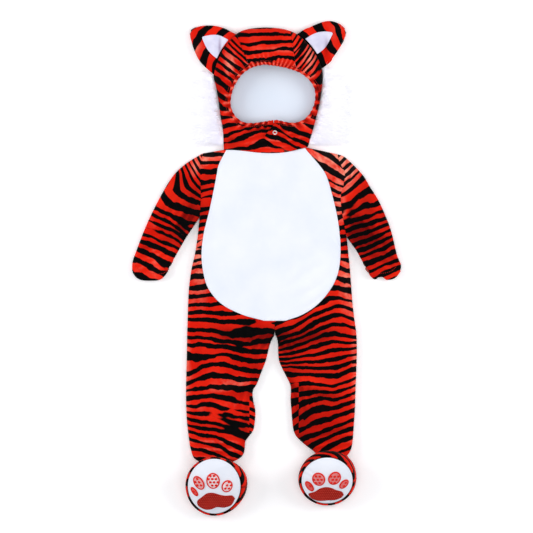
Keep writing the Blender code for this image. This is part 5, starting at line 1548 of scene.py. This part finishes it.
# %% Paw pads
TOE_PADS = table(  # mesh: how strongly the pale mesh still shows on the toe
    "foot number x y half_width half_length turn mesh",
    ("left", 1, -129.4, -401.0, 5.0, 10.6, 36, 0.12), ("left", 2, -121.2, -384.9, 9.2, 14.4, 33, 0.5),
    ("left", 3, -95.6, -381.1, 12.8, 15.0, 4, 1.0), ("left", 4, -70.4, -391.0, 10.2, 12.0, -28, 0.95),
    ("right", 1, 76.9, -391.4, 6.2, 11.6, 38, 0.12), ("right", 2, 93.3, -378.3, 12.0, 13.0, 38, 0.32),
    ("right", 3, 121.9, -376.6, 11.4, 13.4, -40, 0.28), ("right", 4, 139.0, -387.4, 6.8, 11.0, -45, 0.25),
)
MAIN_PADS = table(
    "foot x y half_width half_length mesh", ("left", -90.6, -418.6, 35.0, 16.2, 0.0),
    ("right", 106.4, -405.8, 33.0, 13.4, 0.0),
)
PAW_OUTLINES = {
    "left": (
        (1.0, 0.3), (0.84, 0.68), (0.5, 0.66), (0.2, 0.78), (-0.12, 0.98), (-0.45, 0.94), (-0.74, 0.5),
        (-0.98, 0.0), (-0.92, -0.55), (-0.6, -0.95), (-0.26, -0.96), (0.06, -0.7), (0.42, -0.76),
        (0.8, -0.46),
    ),
    "right": (
        (1.0, -0.1), (0.88, 0.36), (0.54, 0.62), (0.3, 0.9), (0.0, 1.0), (-0.32, 0.82), (-0.62, 0.36),
        (-0.95, 0.06), (-0.86, -0.5), (-0.55, -0.9), (-0.25, -0.98), (0.1, -0.9), (0.45, -0.88),
        (0.82, -0.58),
    ),
}
boots = {bootie.name: bootie for bootie in BOOTIES}


def pad_piece(name, node, pad, outline, stuff):
    plan, faces = fill([Run(outline, False)], 1.3)
    away = distance(plan, [outline])
    z = sole_height(boots[pad.foot])(plan) + PAD_LIFT + PAD_WALL * (0.7 + 0.5 * smooth(away / 2.5))
    made = cloth(
        name, node, np.column_stack([plan, z]), faces, plan - [pad.x, pad.y], stuff,
        [f"plush_sole_{pad.foot}"], thick=PAD_WALL,
    )
    share = distance(np.array([v.co[:2] for v in made.data.vertices]) / MM, [outline])
    store(made.data, "middle", share)
    store(made.data, "mesh_share", np.full(len(share), pad.mesh))
    return made


toe_pieces, main_pieces = {"left": [], "right": []}, {}
for pad in TOE_PADS:
    outline = ellipse(pad.x, pad.y, pad.half_width, pad.half_length, pad.turn, 60)
    tag = f"{pad.foot}_{pad.number}"
    toe_pieces[pad.foot].append(pad_piece(f"toe_print_{tag}", f"toe_pad_{tag}", pad, outline, TOE_PRINT))
for pad in MAIN_PADS:
    outline = spline(PAW_OUTLINES[pad.foot] + PAW_OUTLINES[pad.foot][:1], 90)
    outline = outline * [pad.half_width, pad.half_length] + [pad.x, pad.y]
    main_pieces[pad.foot] = [
        pad_piece(f"paw_print_{pad.foot}", f"paw_pad_{pad.foot}", pad, outline, PAW_PRINT)
    ]

# %% [markdown]
# ## Grip print on the pads
#
# The pads carry a grip print: a mesh of pale lines round red dots on the toes, and short raised dashes
# on the large pad. Both are the same thing, a small shape repeated on a staggered lattice, so one tree
# makes them: it lays a lattice above the pad, drops each point onto it, keeps those away from its edge,
# and puts a small dome there.

# %% Lattice tree
LATTICE = 40  # points along each side
DROP_FROM = 0.2  # metres, well above the pads


def lattice_tree(name, look):
    tree, given, out = geometry_tree(
        name, Pitch="Float", Margin="Float", Shape="Vector", Turn="Float", Middle="Vector"
    )
    width = times(tree, given["Pitch"], LATTICE - 1.0)
    lattice = add(tree, "GeometryNodeMeshGrid", {
        "Size X": width, "Size Y": times(tree, width, 0.866), "Vertices X": LATTICE, "Vertices Y": LATTICE,
    }).outputs[0]
    odd = calc(tree, "MODULO", add(tree, "GeometryNodeInputIndex").outputs[0], 2.0)
    stagger = times(tree, times(tree, odd, given["Pitch"]), 0.5)
    offset = vector_sum(tree, vector(tree, stagger, 0.0, DROP_FROM), given["Middle"])
    raised = add(tree, "GeometryNodeSetPosition", {"Geometry": lattice, "Offset": offset}).outputs[0]
    drop = add(tree, "GeometryNodeRaycast", {
        "Target Geometry": given["Geometry"], "Attribute": stored(tree, "middle"),
        "Ray Direction": (0, 0, -1), "Ray Length": 1.0,
    }, data_type="FLOAT").outputs
    wide_enough = calc(tree, "GREATER_THAN", drop["Attribute"], given["Margin"])
    points = add(tree, "GeometryNodeMeshToPoints", {
        "Mesh": raised, "Selection": times(tree, wide_enough, drop["Is Hit"]),
        "Position": drop["Hit Position"], "Radius": 0.0001,
    }).outputs[0]
    dome = add(tree, "GeometryNodeMeshUVSphere", {"Segments": 10, "Rings": 6, "Radius": 1.0}).outputs[0]
    turn = vector(tree, 0.0, 0.0, given["Turn"])
    close_tree(tree, out, on_points(tree, points, dome, turn, given["Shape"]), look)
    return tree


def joined_copy(name, objects):
    """One mesh from several pieces, with how far each point lies from its piece's edge."""
    points, faces, values, first = [], [], [], 0
    for each in objects:
        points += [tuple(v.co) for v in each.data.vertices]
        faces += [tuple(first + k for k in face.vertices) for face in each.data.polygons]
        values += [item.value for item in each.data.attributes["middle"].data]
        first = len(points)
    mesh = bpy.data.meshes.new(name)
    mesh.from_pydata(points, [], faces)
    store(mesh, "middle", values)
    return mesh


GRIPS = table(
    "name parts look pitch margin shape turn",
    ("grip_dashes", main_pieces, "paw_pad_dash", 0.0037, 2.2, (0.0016, 0.00065, 0.0005), -0.7),
    ("grip_dots", toe_pieces, "toe_pad_print", 0.0066, 3.2, (0.0027, 0.0027, 0.0006), 0.0),
)
grip_trees = [lattice_tree(grip.name, soft[grip.look]) for grip in GRIPS]
for foot, boot in boots.items():
    for grip, grip_tree in zip(GRIPS, grip_trees):
        values = {
            "Pitch": grip.pitch, "Margin": grip.margin, "Shape": grip.shape, "Turn": grip.turn,
            "Middle": (boot.x * MM, boot.y * MM, 0.0),
        }
        base = joined_copy(f"{grip.name}_base", grip.parts[foot])
        grown(f"{grip.name}_{foot}", base, grip_tree, values)

# %% [markdown]
# ## Stitches
#
# Rows of topstitching hold the belly, the soles and the hems. A stitch is a small rounded bar, and a row
# of them follows a line, so a tree turns the line into points a stitch apart and lays a bar along it.

# %% Stitch rows
STITCH = {"Pitch": 0.0034, "Thread": 0.0007, "Length": 0.0027}


def line_mesh(name, lines, closed):
    """A mesh of edges alone, through each of some lines of points in millimetres."""
    points, edges = [], []
    for line in lines:
        first = len(points)
        points += [tuple(p) for p in np.asarray(line) * MM]
        edges += [(k, k + 1) for k in range(first, len(points) - 1)]
        if closed:
            edges.append((len(points) - 1, first))
    mesh = bpy.data.meshes.new(name)
    mesh.from_pydata(points, edges, [])
    return mesh


def stitch_tree(name, look):
    tree, given, out = geometry_tree(name, Pitch="Float", Thread="Float", Length="Float")
    curve = add(tree, "GeometryNodeMeshToCurve", {"Mesh": given["Geometry"]}).outputs[0]
    points = {"Curve": curve, "Length": given["Pitch"]}
    points = add(tree, "GeometryNodeCurveToPoints", points, mode="LENGTH").outputs
    along = {"Vector": points["Tangent"]}
    along = add(tree, "FunctionNodeAlignRotationToVector", along, axis="Z").outputs[0]
    bar = add(tree, "GeometryNodeMeshUVSphere", {"Segments": 6, "Rings": 5, "Radius": 0.5}).outputs[0]
    size = vector(tree, given["Thread"], given["Thread"], given["Length"])
    close_tree(tree, out, on_points(tree, points[0], bar, along, size), look)
    return tree


def on_surface(plan, surface, lift=0.15):
    return np.column_stack([plan, surface(plan) + lift])


belly_edge, belly_inward = edge_of(BELLY_RUNS, 2.0)
belly_row = on_surface(belly_edge + belly_inward * 2.4, top)
sole_rows = [on_surface(sole_edge(bootie, 3.4)[:-1], sole_height(bootie)) for bootie in BOOTIES]
hem_rows = [on_surface(sleeve_plan(arm, 90)[83][6:-6], top) for arm in ARMS]
casing_row = face_rim(CASING_START + 4, CASING_STOP - 12)
casing_row = casing_row + (casing_row - FACE_CENTRE) * (2.6 / 60.0)
casing_lift = np.where(right_angles(casing_row) < 0, flap_lift(right_angles(casing_row)), 0.0)
hem_rows.append(on_surface(casing_row, top, casing_lift + 0.1))

white_tree = stitch_tree("white_stitches", soft["white_thread"])
red_tree = stitch_tree("red_stitches", soft["red_thread"])
for name, rows, closed, tree, slot_name in (
    ("belly", [belly_row], True, white_tree, "white_plush"),
    ("soles", sole_rows, True, white_tree, "white_plush"),
    ("hems", hem_rows, False, red_tree, "striped_velour"),
):
    grown(f"stitches_{name}", line_mesh(f"{name}_rows", rows, closed), tree, STITCH)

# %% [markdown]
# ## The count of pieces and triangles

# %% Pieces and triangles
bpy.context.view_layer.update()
print("pieces:", len(pieces), "triangles:", sum(len(p.data.loop_triangles) for p in pieces.values()))
